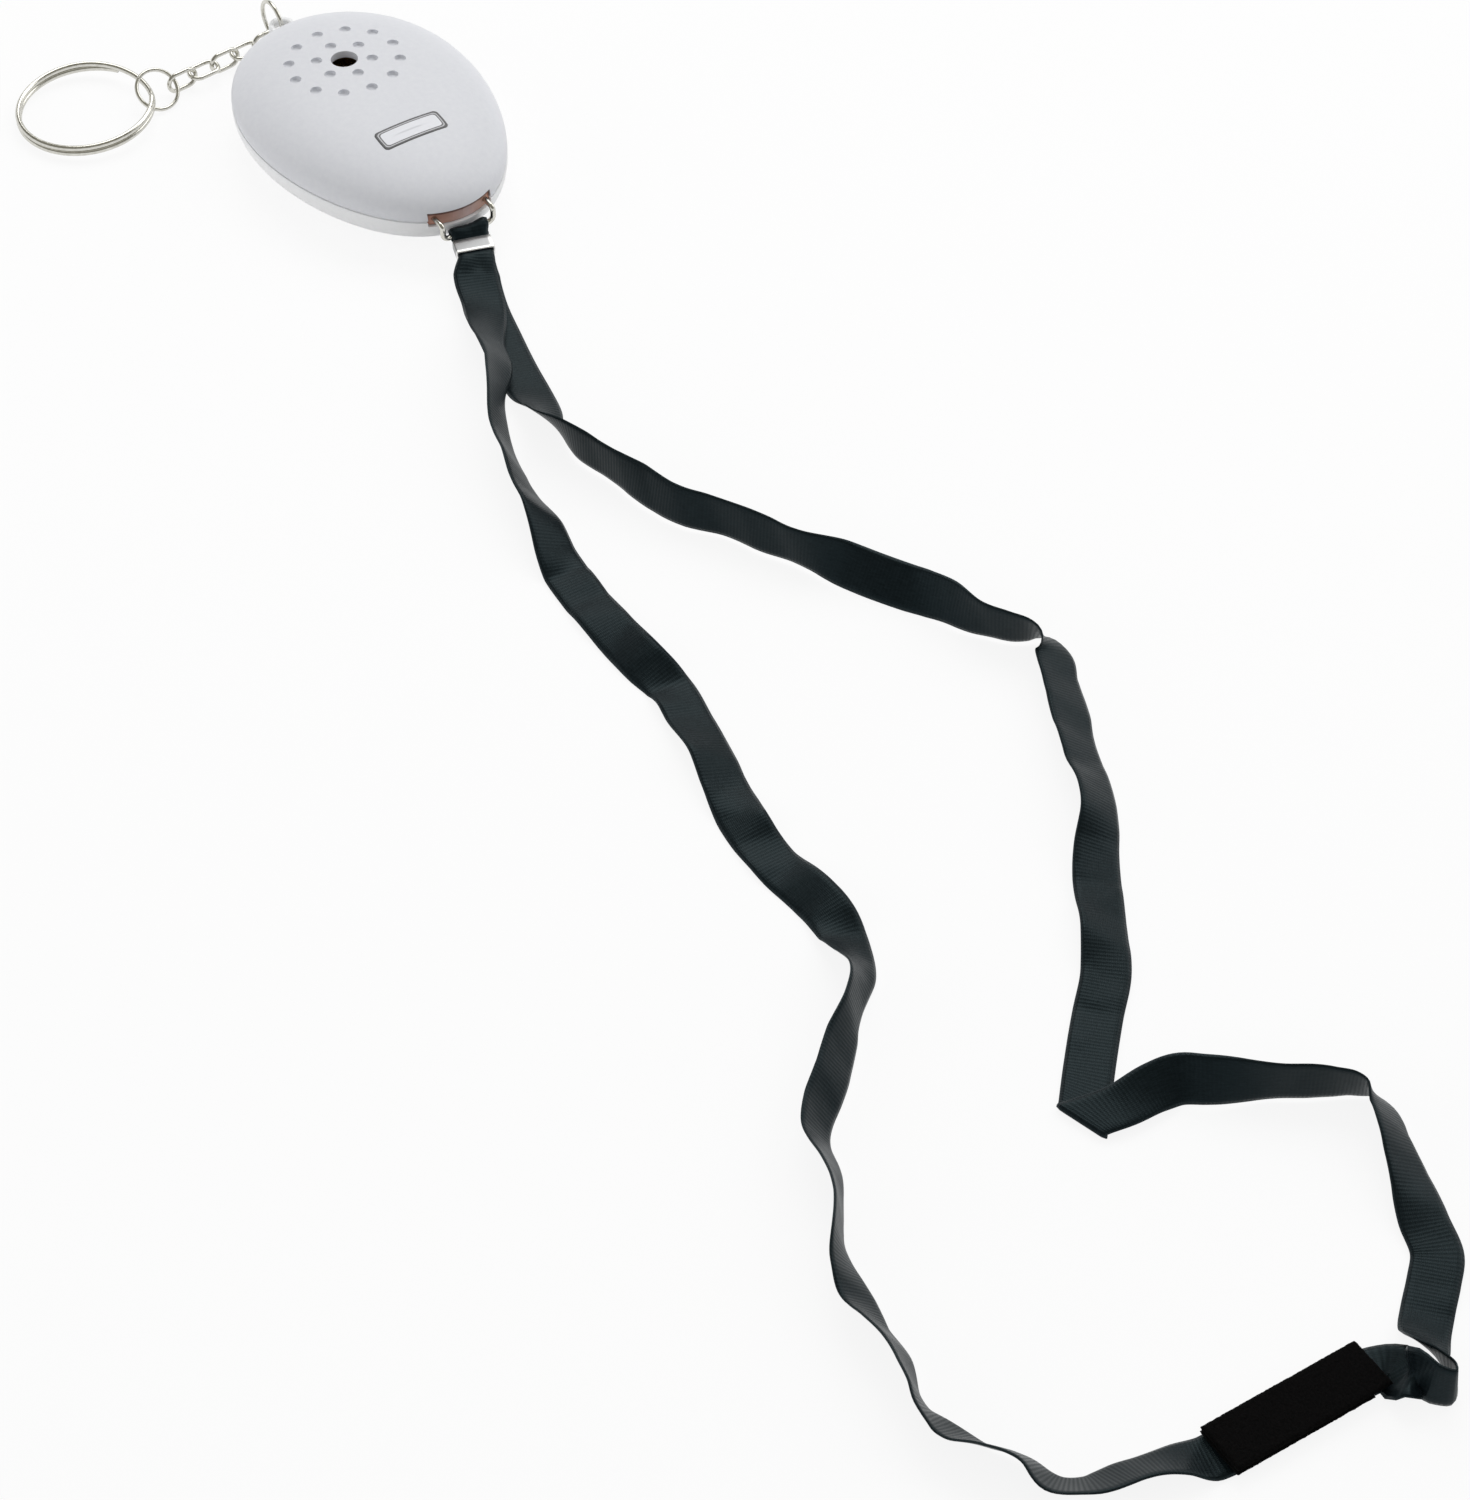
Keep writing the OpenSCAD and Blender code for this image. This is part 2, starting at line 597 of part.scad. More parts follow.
// U-shaped wire with both ends set in the plug
module wire_bail() {
    leg_top = plug_z - bail_bend;
    leg_low = bail_bar_z + bail_corner;
    color("silver") for (side = [-1, 1]) {
        translate([plug_back + 0.9, side * bail_y, plug_z]) rotate([0, 90, 0])
            cylinder(d = bail_d, h = bail_x - bail_bend - plug_back - 0.9);
        translate([bail_x - bail_bend, side * bail_y, leg_top]) rotate([90, 0, 0])
            rotate_extrude(angle = 90) translate([bail_bend, 0]) circle(d = bail_d);
        translate([bail_x, side * bail_y, leg_low]) cylinder(d = bail_d, h = leg_top - leg_low);
        translate([bail_x, side * (bail_y - bail_corner), leg_low]) rotate([90, 0, side * 90])
            rotate([0, 0, -90]) rotate_extrude(angle = 90) translate([bail_corner, 0]) circle(d = bail_d);
        translate([bail_x, 0, bail_bar_z]) rotate([-90 * side, 0, 0])
            cylinder(d = bail_d, h = bail_y - bail_corner);
    }
}

// Folded metal crimp round both layers of the ribbon
module crimp_clamp() {
    clamp_w = clamp_slot_w + 2 * clamp_t;
    color("lightgray") translate([bail_x, 0, clamp_low]) rotate([0, 0, clamp_turn])
        translate([clamp_run, 0, 0]) difference() {
            translate([0, -clamp_w / 2, 0]) cube([clamp_l, clamp_w, clamp_h]);
            translate([-1, -clamp_slot_w / 2, clamp_t])
                cube([clamp_l + 2, clamp_slot_w, clamp_h - 2 * clamp_t]);
        }
}

module lanyard() {
    color("darkslategray") strip(lanyard_stations, ribbon_w, ribbon_t);
}

module breakaway_hook_strip() {
    color("black") translate([breakaway_x - breakaway_w / 2, breakaway_y, hook_z])
        cube([breakaway_w, hook_l, hook_t]);
}

module breakaway_loop_strip() {
    color("black") translate([breakaway_x - breakaway_w / 2, breakaway_y, hook_z + hook_t])
        cube([breakaway_w, breakaway_l, loop_t]);
}

module lug_ring() {
    color("silver") translate([ring_x, 0, ring_z]) rotate([90, 0, 0]) wire_ring(ring_mean, link_wire);
}

module chain_link_1() { color("silver") chain_link(4); }
module chain_link_2() { color("silver") chain_link(3); }
module chain_link_3() { color("silver") chain_link(2); }
module chain_link_4() { color("silver") chain_link(1); }
module chain_link_5() { color("silver") chain_link(0); }

module jump_ring() {
    color("silver") on_chain(jump_s, jump_z, jump_lean) wire_ring(jump_mean, jump_wire);
}

// Two turns of one wire: the second turn steps up over the first
function key_height(angle) = let (s = min(max((angle - 320) / 80, 0), 1))
    key_pitch * (s * s * (3 - 2 * s) - 0.5);
module key_ring() {
    steps = round(key_turns * key_turn_steps);
    points = [for (i = [0:steps]) for (j = [0:key_sides - 1])
        let (angle = 360 * key_turns * i / steps, f = 360 * (j + 0.5) / key_sides,
             r = key_mean + key_wire / 2 * cos(f), a = angle + key_start)
        [r * cos(a), r * sin(a), key_height(angle) + key_wire / 2 * sin(f)]];
    sides = [for (i = [0:steps - 1]) for (j = [0:key_sides - 1])
        let (a = key_sides * i + j, b = key_sides * i + (j + 1) % key_sides)
        each [[a, b, b + key_sides], [a, b + key_sides, a + key_sides]]];
    ends = [[for (j = [key_sides - 1:-1:0]) j], [for (j = [0:key_sides - 1]) key_sides * steps + j]];
    color("silver") on_chain(key_cross_s, jump_z, 0) rotate([0, 0, key_turn]) rotate([key_slope, 0, 0])
        translate([0, -key_mean, 0]) polyhedron(points, concat(sides, ends));
}

upper_shell();
lower_shell();
badge_plate();
case_screws();
circuit_board();
sounder_retainer();
piezo_plate();
piezo_ceramic();
sounder_leads();
siren_chip();
step_up_coil();
coil_core();
transistor();
resistors();
button_cells();
cell_link_lower();
cell_link_upper();
positive_contact();
negative_contact();
switch_anchor();
contact_leaf_upper();
contact_leaf_lower();
pull_plug();
wire_bail();
crimp_clamp();
lanyard();
breakaway_hook_strip();
breakaway_loop_strip();
lug_ring();
chain_link_1();
chain_link_2();
chain_link_3();
chain_link_4();
chain_link_5();
jump_ring();
key_ring();
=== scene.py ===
import bpy
import numpy as np
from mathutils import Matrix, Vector


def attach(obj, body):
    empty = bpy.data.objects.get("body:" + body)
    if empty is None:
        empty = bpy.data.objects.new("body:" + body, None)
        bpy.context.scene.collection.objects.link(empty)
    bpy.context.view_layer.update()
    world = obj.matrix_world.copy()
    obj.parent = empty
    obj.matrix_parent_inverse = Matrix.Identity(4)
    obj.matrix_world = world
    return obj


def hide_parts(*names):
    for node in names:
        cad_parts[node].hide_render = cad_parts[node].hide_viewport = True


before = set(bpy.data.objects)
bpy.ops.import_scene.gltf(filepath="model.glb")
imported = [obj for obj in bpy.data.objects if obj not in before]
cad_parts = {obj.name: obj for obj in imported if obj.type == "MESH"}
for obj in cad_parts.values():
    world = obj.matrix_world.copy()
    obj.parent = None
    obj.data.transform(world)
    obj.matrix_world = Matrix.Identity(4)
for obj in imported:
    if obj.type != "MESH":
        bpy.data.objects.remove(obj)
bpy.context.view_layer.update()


# UPPER SHELL
# The top half of the egg-shaped case: one satin grey-white plastic moulding with a sound hole, a
# rosette of shallow dimples round it and half of the plug's slot. It seats on the lower shell's
# rim, with a fine groove between them, and screws from below hold it.
HALF_LENGTH, HALF_WIDTH = 0.0347, 0.0242
NARROWING = 0.122
SEAM = 0.0083
DOME_RISE, DOME_POWER = 0.0084, 2.5
WALL = 0.0016
GROOVE_DEEP, GROOVE_HALF, GROOVE_ROUND = 0.0005, 0.00022, 0.00012
GROOVE_INSETS = np.array([GROOVE_DEEP, GROOVE_DEEP, GROOVE_ROUND, 0.3 * GROOVE_ROUND])
GROOVE_RISES = np.array([0, GROOVE_HALF, GROOVE_HALF, GROOVE_HALF + 0.3 * GROOVE_ROUND])
GRILLE_X = -0.0112
SLOT_LOW, SLOT_HIGH = (0.0291, -0.007, 0.0072), (0.042, 0.007, 0.0102)


def egg_line(t, inset):
    """Egg outline: x is the half length times cos t, y the half width times sin t, drawn in
    towards the narrow end by a share of cos t. The inset shortens both halves."""
    x = (HALF_LENGTH - inset) * np.cos(t)
    y = (HALF_WIDTH - inset) * np.sin(t) * (1 - NARROWING * np.cos(t))
    return np.stack(np.broadcast_arrays(x, y), -1)


def egg_share(x, y):
    """How far out a point lies, as a share of the outline in its own direction. A first guess is
    corrected until the shrunk outline passes through the point."""
    share = np.full(np.shape(x), 0.5)
    for _ in range(24):
        c = x / (HALF_LENGTH * share)
        s = y / (HALF_WIDTH * share * (1 - NARROWING * c))
        share = np.maximum(share * np.hypot(c, s), 1e-6)
    return share


def dome_height(x, y):
    """Superellipse dome: the share out and the share up, each to the dome's power, add to one."""
    return SEAM + DOME_RISE * np.clip(1 - egg_share(x, y) ** DOME_POWER, 0, 1) ** (1 / DOME_POWER)


def shell_rows(insets, shares, heights, columns=240):
    """Rows of a shell's skin: each row is the egg outline drawn in by its inset, shrunk by its
    share and set at its height."""
    t = np.linspace(0, 2 * np.pi, columns, endpoint=False)
    line = egg_line(t[None, :], np.asarray(insets)[:, None]) * np.asarray(shares)[:, None, None]
    high = np.broadcast_to(np.asarray(heights)[:, None, None], (*line.shape[:2], 1))
    return np.concatenate([line, high], -1)


def ring_quads(rows, columns, first=0, closed=False):
    """Corner numbers of the quads between neighbouring rows of a grid whose columns close into a
    ring. A closed grid joins its last row to its first as well."""
    i, j = np.meshgrid(np.arange(rows if closed else rows - 1), np.arange(columns), indexing="ij")
    here, above, right = first + i * columns, first + (i + 1) % rows * columns, (j + 1) % columns
    return np.stack([here + j, here + right, above + right, above + j], -1).reshape(-1, 4)


def shell_skin(outer, inner, downwards):
    """One closed skin: the outer rows from the rim to a pole, the inner rows likewise, and a rim
    between their first rows. A shell that opens upwards has every face turned."""
    columns = outer.shape[1]
    first_in = outer.shape[0] * columns
    poles = first_in + inner.shape[0] * columns
    points = np.concatenate([outer.reshape(-1, 3), inner.reshape(-1, 3),
                             [outer[-1].mean(0), inner[-1].mean(0)]])
    j = np.arange(columns)
    k = (j + 1) % columns
    last_out, last_in = first_in - columns, poles - columns
    quads = np.concatenate([
        ring_quads(outer.shape[0], columns), ring_quads(inner.shape[0], columns, first_in)[:, ::-1],
        np.stack([j, first_in + j, first_in + k, k], -1)])
    caps = np.concatenate([
        np.stack([last_out + j, last_out + k, np.full(columns, poles)], -1),
        np.stack([last_in + k, last_in + j, np.full(columns, poles + 1)], -1)])
    if downwards:
        quads, caps = quads[:, ::-1], caps[:, ::-1]
    return points, quads.tolist() + caps.tolist()


def turned_solids(centres, profile, sides):
    """Solids turned about upright axes: each centre takes the profile of radius and height once
    round, with a flat cap at the profile's first and last point."""
    angle = np.linspace(0, 2 * np.pi, sides, endpoint=False)
    ring = np.stack([np.cos(angle), np.sin(angle), np.zeros(sides)], -1)
    profile = np.asarray(profile)
    one = ring[None] * profile[:, 0, None, None] + profile[:, 1, None, None] * np.array([0, 0, 1.0])
    points = (np.asarray(centres)[:, None, None] + one[None]).reshape(-1, 3)
    per = len(profile) * sides
    starts = per * np.arange(len(centres))[:, None]
    quads = (starts[..., None] + ring_quads(len(profile), sides)[None]).reshape(-1, 4)
    low = starts + np.arange(sides)[::-1]
    high = starts + per - sides + np.arange(sides)
    return points, quads.tolist() + low.tolist() + high.tolist()


def block(low, high):
    """A rectangular block between two corners."""
    pick = np.array([[0, 0, 0], [1, 0, 0], [1, 1, 0], [0, 1, 0], [0, 0, 1], [1, 0, 1], [1, 1, 1], [0, 1, 1]])
    points = np.where(pick, np.asarray(high), np.asarray(low)).astype(float)
    return points, [[3, 2, 1, 0], [4, 5, 6, 7], [0, 1, 5, 4], [1, 2, 6, 5], [2, 3, 7, 6], [3, 0, 4, 7]]


def together(*shapes):
    """Several shapes as one, with the later ones' corners numbered on."""
    points, faces = [], []
    for some_points, some_faces in shapes:
        start = sum(len(p) for p in points)
        points.append(np.asarray(some_points))
        faces += [[start + corner for corner in face] for face in some_faces]
    return np.concatenate(points), faces


def new_piece(name, shape, body=None, finish=None):
    """A mesh object at the origin with its place in its points, riding on a CAD body."""
    mesh = bpy.data.meshes.new(name)
    mesh.from_pydata(np.asarray(shape[0]).tolist(), [], shape[1])
    mesh.update()
    mesh.shade_smooth()
    piece = bpy.data.objects.new(name, mesh)
    bpy.context.scene.collection.objects.link(piece)
    if body:
        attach(piece, body)
    if finish:
        mesh.materials.append(finish)
    return piece


def carve(piece, shape):
    """Cuts a closed shape out of a closed piece and keeps the result as the piece's own mesh."""
    cutter = new_piece(piece.name + "_cutter", shape)
    cut = piece.modifiers.new("cut", "BOOLEAN")
    cut.operation, cut.solver, cut.object = "DIFFERENCE", "EXACT", cutter
    carved = bpy.data.meshes.new_from_object(piece.evaluated_get(bpy.context.evaluated_depsgraph_get()))
    piece.modifiers.clear()
    piece.data = carved
    bpy.data.objects.remove(cutter)


def true_normals(piece, on_skin, normal_at):
    """Corners of faces that lie on the moulded skin take the skin's own normal, so that cuts leave
    no ripples in its gloss. All other faces stay flat."""
    mesh = piece.data
    points = np.empty(len(mesh.vertices) * 3)
    mesh.vertices.foreach_get("co", points)
    points = points.reshape(-1, 3)
    corner = np.empty(len(mesh.loops), int)
    mesh.loops.foreach_get("vertex_index", corner)
    start, total = np.empty(len(mesh.polygons), int), np.empty(len(mesh.polygons), int)
    mesh.polygons.foreach_get("loop_start", start)
    mesh.polygons.foreach_get("loop_total", total)
    flat = np.empty(len(mesh.polygons) * 3)
    mesh.polygons.foreach_get("normal", flat)
    flat = np.repeat(flat.reshape(-1, 3), total, axis=0)
    skin = normal_at(points)[corner]
    ours = np.repeat(np.minimum.reduceat(on_skin(points)[corner], start), total)
    ours &= (flat * skin).sum(-1) > 0.8
    mesh.shade_smooth()
    mesh.normals_split_custom_set(np.where(ours[:, None], skin, flat).tolist())


def skin_normal(points, rise, power, upwards):
    """Normal of a superellipse skin: the slope of share out to the power plus share up to the
    power, found by small steps in x and y."""
    x, y, z = points.T
    step = 1e-6
    out = egg_share(x, y)
    slope_x = (egg_share(x + step, y) - egg_share(x - step, y)) / (2 * step)
    slope_y = (egg_share(x, y + step) - egg_share(x, y - step)) / (2 * step)
    up = np.clip((z - SEAM if upwards else SEAM - z) / rise, 0, 1)
    normal = np.stack([out ** (power - 1) * slope_x, out ** (power - 1) * slope_y,
                       (1 if upwards else -1) * up ** (power - 1) / rise], -1)
    return normal / np.maximum(np.linalg.norm(normal, axis=-1, keepdims=True), 1e-12)


def set_sockets(node, values):
    """Sets sockets of a node, by place or by name: one that is given an output is linked to it, and
    any other holds the value itself."""
    for place, value in values.items():
        socket = node.inputs[place.replace("_", " ") if isinstance(place, str) else place]
        if isinstance(value, bpy.types.NodeSocket):
            node.id_data.links.new(value, socket)
        else:
            socket.default_value = value


def add_node(tree, kind, *values, **named):
    """A new node. Names in small letters are its own settings. The other names, and the values by
    their place, are its sockets."""
    node = tree.nodes.new("ShaderNode" + kind)
    for name in [name for name in named if name.islower()]:
        setattr(node, name, named.pop(name))
    set_sockets(node, {**dict(enumerate(values)), **named})
    return node


def spread(tree, share, low, high, to_low=0.0, to_high=1.0):
    """A share moved from one range to another, in proportion and not beyond its ends."""
    return add_node(tree, "MapRange", share, low, high, to_low, to_high).outputs["Result"]


def tones(tree, share, stops):
    """A run of colours over a share: each stop is a place and a colour, and the colour changes
    evenly from one stop to the next."""
    run = add_node(tree, "ValToRGB", share)
    elements = run.color_ramp.elements
    for _ in stops[2:]:
        elements.new(1)
    for element, (place, colour) in zip(elements, stops):
        element.position, element.color = place, (*colour, 1)
    return run.outputs["Color"]


def shade(finish, **sockets):
    """Sets sockets of a finish's shader. A value that is the same all over sits on the socket."""
    set_sockets(finish.node_tree.nodes["Principled BSDF"], sockets)
    return finish


def new_finish(name, **sockets):
    """A finish with some of its shader's sockets set."""
    finish = bpy.data.materials.new(name)
    finish.use_nodes = True
    return shade(finish, **sockets)


def grained(name, dark, light, scale, roughness, bump, depth, stretch=(1, 1, 1), **sockets):
    """A finish with fine grain on the piece's own coordinates: one noise mixes two close colours,
    spreads the roughness and raises the surface."""
    finish = new_finish(name, **sockets)
    tree = finish.node_tree
    place = add_node(tree, "Mapping", add_node(tree, "TexCoord").outputs["Object"], Scale=stretch)
    noise = add_node(tree, "TexNoise", Vector=place.outputs["Vector"], Scale=scale, Detail=4.0,
                     Roughness=0.6).outputs["Fac"]
    raised = add_node(tree, "Bump", Height=noise, Strength=bump, Distance=depth)
    return shade(finish, Base_Color=tones(tree, noise, ((0.3, dark), (0.7, light))),
                 Roughness=spread(tree, noise, 0.3, 0.7, *roughness), Normal=raised.outputs["Normal"])


turn = np.radians(np.linspace(2.0, 88.8, 58))
inner_turn = np.radians(np.linspace(2.0, 87.0, 24))
upper_outer = shell_rows(np.r_[GROOVE_INSETS, np.zeros(len(turn))],
                         np.r_[np.ones(len(GROOVE_INSETS)), np.cos(turn) ** (2 / DOME_POWER)],
                         SEAM + np.r_[GROOVE_RISES, DOME_RISE * np.sin(turn) ** (2 / DOME_POWER)])
upper_inner = shell_rows(
    np.full(len(inner_turn) + 1, WALL), np.r_[1, np.cos(inner_turn) ** (2 / DOME_POWER)],
    np.r_[SEAM, SEAM + (DOME_RISE - WALL) * np.sin(inner_turn) ** (2 / DOME_POWER)])

DIMPLE_DEEP, DIMPLE_R, DIMPLE_CUT = 0.0008, 0.00115, 0.003
SOUND_HOLE_R, SOUND_HOLE_FROM, SOUND_HOLE_TO = 0.0027, SEAM + 0.002, 0.03
ROSETTE_OUT, ROSETTE_IN = 0.011, 0.0055
SKIN_WITHIN = 3e-5
rosette = np.radians(np.r_[np.arange(0, 360, 30), np.arange(0, 360, 60)])
rosette_r = np.r_[np.full(12, ROSETTE_OUT), np.full(6, ROSETTE_IN)]
dimple_x, dimple_y = GRILLE_X + rosette_r * np.cos(rosette), rosette_r * np.sin(rosette)
dimple_at = np.stack([dimple_x, dimple_y, dome_height(dimple_x, dimple_y)], -1)
dimple_profile = [(0.55 * DIMPLE_R, -DIMPLE_DEEP), (0.85 * DIMPLE_R, -0.9 * DIMPLE_DEEP),
                  (DIMPLE_R, -0.6 * DIMPLE_DEEP), (DIMPLE_R, DIMPLE_CUT)]
sound_hole_profile = [(SOUND_HOLE_R, SOUND_HOLE_FROM), (SOUND_HOLE_R, SOUND_HOLE_TO)]

shell_white = grained("satin_grey_white_moulding", (0.70, 0.71, 0.745), (0.735, 0.745, 0.775), 900,
                      (0.38, 0.47), 0.08, 0.0001, Specular_IOR_Level=0.3)
upper = new_piece("upper_moulding", shell_skin(upper_outer, upper_inner, False), "case", shell_white)
carve(upper, together(turned_solids(dimple_at, dimple_profile, 28),
                      turned_solids([(GRILLE_X, 0, 0)], sound_hole_profile, 72),
                      block(SLOT_LOW, SLOT_HIGH)))
true_normals(upper, lambda p: abs(dome_height(p[:, 0], p[:, 1]) - p[:, 2]) < SKIN_WITHIN,
             lambda p: skin_normal(p, DOME_RISE, DOME_POWER, True))
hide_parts("upper_shell")


# LOWER SHELL
# The bottom half of the case, a whiter moulding with a rounded belly, a flat underside to stand
# on, recesses for the screws, the other half of the plug's slot, and a lug with a hole at the
# round end for the chain.
BELLY_DROP, BELLY_POWER = 0.009, 3.0
SCREWS = np.array([(-0.021, -0.01398, 0), (-0.021, 0.01398, 0),
                   (0.016, -0.01199, 0), (0.016, 0.01199, 0)])
SCREW_SEAT, SCREW_RECESS_R, SCREW_CUT = 0.0032, 0.0021, -0.002
BELLY_WITHIN, BELLY_FROM = 4e-3, SEAM - 0.0002
LUG_HOLE, LUG_HOLE_R, LUG_R = np.array([-0.0378, 0]), 0.0015, 0.0027
LUG_LOW, LUG_HIGH, LUG_EDGE = 0.0064, 0.0082, 0.0003


def belly_rows(inset, turn, insets, heights):
    """Superellipse belly from the rim down, cut off flat at the underside, then in to the middle."""
    flat = np.linspace(0.97, 0.03, 6)
    drop = SEAM - (BELLY_DROP - inset) * np.sin(turn) ** (2 / BELLY_POWER)
    shares = np.cos(turn) ** (2 / BELLY_POWER)
    return shell_rows(np.r_[insets, np.full(len(turn) + len(flat), inset)],
                      np.r_[np.ones(len(insets)), shares, shares[-1] * flat],
                      np.r_[heights, np.maximum(drop, inset), np.full(len(flat), inset)])


flat_from = np.arcsin((SEAM / BELLY_DROP) ** (BELLY_POWER / 2))
flat_in = np.arcsin(((SEAM - WALL) / (BELLY_DROP - WALL)) ** (BELLY_POWER / 2))
lower_outer = belly_rows(0.0, np.linspace(np.radians(1.5), flat_from, 46),
                         GROOVE_INSETS, SEAM - GROOVE_RISES)
lower_inner = belly_rows(WALL, np.linspace(np.radians(1.5), flat_in, 22), [WALL], [SEAM])


def lug_ring_rows():
    """The lug: loops run once round the hole, out over the top, down the outside and back under.
    The outside is a half circle that carries on straight into the shell's wall."""
    a = np.linspace(0, 2 * np.pi, 72, endpoint=False)
    way = np.stack([np.cos(a), np.sin(a)], -1)
    into_shell = -HALF_LENGTH + WALL / 2 - LUG_HOLE[0]
    reach = np.where(way[:, 0] > 0, np.minimum(into_shell / np.maximum(way[:, 0], 1e-6),
                                               LUG_R / np.maximum(abs(way[:, 1]), 1e-6)), LUG_R)
    e = LUG_EDGE
    rows = [(LUG_HOLE_R, 0, LUG_LOW + e), (LUG_HOLE_R, 0, LUG_HIGH - e), (LUG_HOLE_R + e, 0, LUG_HIGH),
            (-e, 1, LUG_HIGH), (-0.3 * e, 1, LUG_HIGH - 0.3 * e), (0, 1, LUG_HIGH - e), (0, 1, LUG_LOW + e),
            (-0.3 * e, 1, LUG_LOW + 0.3 * e), (-e, 1, LUG_LOW), (LUG_HOLE_R + e, 0, LUG_LOW)]
    plus, outside, high = np.array(rows).T
    out = plus[:, None] + outside[:, None] * reach[None]
    flat = LUG_HOLE + out[..., None] * way[None]
    return np.concatenate([flat, np.broadcast_to(high[:, None, None], (*out.shape, 1))], -1)


def tube(rows, closed=False, turned=False):
    """A skin over rows of points whose columns close into a ring. An open tube has a flat cap at
    each end, a closed one joins its last row to its first, and a turned one faces the other way."""
    count, around = rows.shape[:2]
    faces = ring_quads(count, around, closed=closed).tolist()
    if not closed:
        faces += [list(range(around))[::-1], list(range((count - 1) * around, count * around))]
    return rows.reshape(-1, 3), [face[::-1] for face in faces] if turned else faces


def on_belly(p):
    """True where the share out and the share down, each to the belly's power, add to one, below the
    groove."""
    down = np.clip((SEAM - p[:, 2]) / BELLY_DROP, 0, 1)
    total = egg_share(p[:, 0], p[:, 1]) ** BELLY_POWER + down ** BELLY_POWER
    return (abs(total - 1) < BELLY_WITHIN) & (p[:, 2] < BELLY_FROM)


lower_white = grained("satin_white_moulding", (0.865, 0.87, 0.88), (0.895, 0.9, 0.905), 900,
                      (0.36, 0.45), 0.08, 0.0001)
lower = new_piece("lower_moulding", shell_skin(lower_outer, lower_inner, True), "case", lower_white)
carve(lower, together(
    turned_solids(SCREWS, [(SCREW_RECESS_R, SCREW_CUT), (SCREW_RECESS_R, SCREW_SEAT)], 40),
    block(SLOT_LOW, SLOT_HIGH)))
true_normals(lower, on_belly, lambda p: skin_normal(p, BELLY_DROP, BELLY_POWER, False))
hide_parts("lower_shell")
lug_tab = new_piece("chain_lug", tube(lug_ring_rows(), closed=True, turned=True), "case", lower_white)


# BADGE
# A thin blank plate on the slope towards the narrow end, silver-white with a dark printed border
# line. It is stuck on and follows the shell's curve.
BADGE_X, BADGE_LONG, BADGE_SHORT, BADGE_CORNER = 0.015, 0.0142, 0.0054, 0.0011
BADGE_PROUD, BADGE_SUNK, BADGE_EASE, BADGE_REACH = 0.0001, 0.0003, 0.00006, 0.0026


def rounded_rectangle(half, corner, steps):
    """Rounded rectangle: a point runs round the corners' centres, waits at each of them, and carries
    a short arm of the corner's radius that keeps turning."""
    a = np.linspace(0, 2 * np.pi, steps, endpoint=False)
    arm = np.stack([np.cos(a), np.sin(a)], -1)
    return (np.asarray(half) - corner) * np.clip(3 * arm, -1, 1) + corner * arm


def badge_surface():
    """Rounded rectangle laid on the dome: loops shrink from the outline to the middle, each point
    lifted to the dome's height, with a rounded edge that goes down into the shell."""
    outline = rounded_rectangle((BADGE_SHORT / 2, BADGE_LONG / 2), BADGE_CORNER, 160)
    draw_in = np.r_[0, 0, BADGE_EASE, np.linspace(0.0002, BADGE_REACH, 17)]
    drop = np.r_[BADGE_SUNK, BADGE_EASE, 0, np.zeros(17)]
    size = np.array([BADGE_SHORT, BADGE_LONG]) / 2
    flat = outline[None] * ((size - draw_in[:, None]) / size)[:, None]
    x, y = BADGE_X + flat[..., 0], flat[..., 1]
    z = dome_height(x, y) + BADGE_PROUD - drop[:, None]
    rows = np.stack([x, y, z], -1)
    return rows, np.repeat(draw_in, len(outline))


def mark(piece, name, values):
    """Writes one number for each of a piece's points, for its finish to read."""
    marks = piece.data.attributes.new(name, "FLOAT", "POINT")
    marks.data.foreach_set("value", np.ravel(values).astype(float))


badge_rows, badge_edge = badge_surface()
badge_points = badge_rows.reshape(-1, 3)
badge_last = len(badge_points) - badge_rows.shape[1] + np.arange(badge_rows.shape[1])
badge_faces = [*ring_quads(*badge_rows.shape[:2])[:, ::-1].tolist(), badge_last[::-1].tolist()]
badge_white = new_finish("blank_badge_print", Roughness=0.3)
edge_in = add_node(badge_white.node_tree, "Attribute", attribute_name="edge").outputs["Fac"]
border = [(place, (tone, tone * 1.01, tone * 1.06)) for place, tone in (
    (0.0, 0.2), (0.02, 0.05), (0.17, 0.05), (0.19, 0.5), (0.245, 0.5), (0.265, 0.1), (0.345, 0.1),
    (0.365, 0.74))]
shade(badge_white, Base_Color=tones(badge_white.node_tree, edge_in, border))
badge = new_piece("blank_badge", (badge_points, badge_faces), "case", badge_white)
mark(badge, "edge", badge_edge / BADGE_REACH)
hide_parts("badge_plate")


# CASE SCREWS
# Four cross-head steel screws, driven up from the underside through the lower shell and the board
# into the upper shell.
def dress(finish, *names):
    """Gives CAD nodes a finish."""
    for name in names:
        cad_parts[name].material_slots[0].material = finish


dress(grained("zinc_plated_screw", (0.52, 0.53, 0.54), (0.68, 0.69, 0.7), 1500, (0.25, 0.42), 0.1, 0.00005,
              Metallic=1.0), "case_screws")


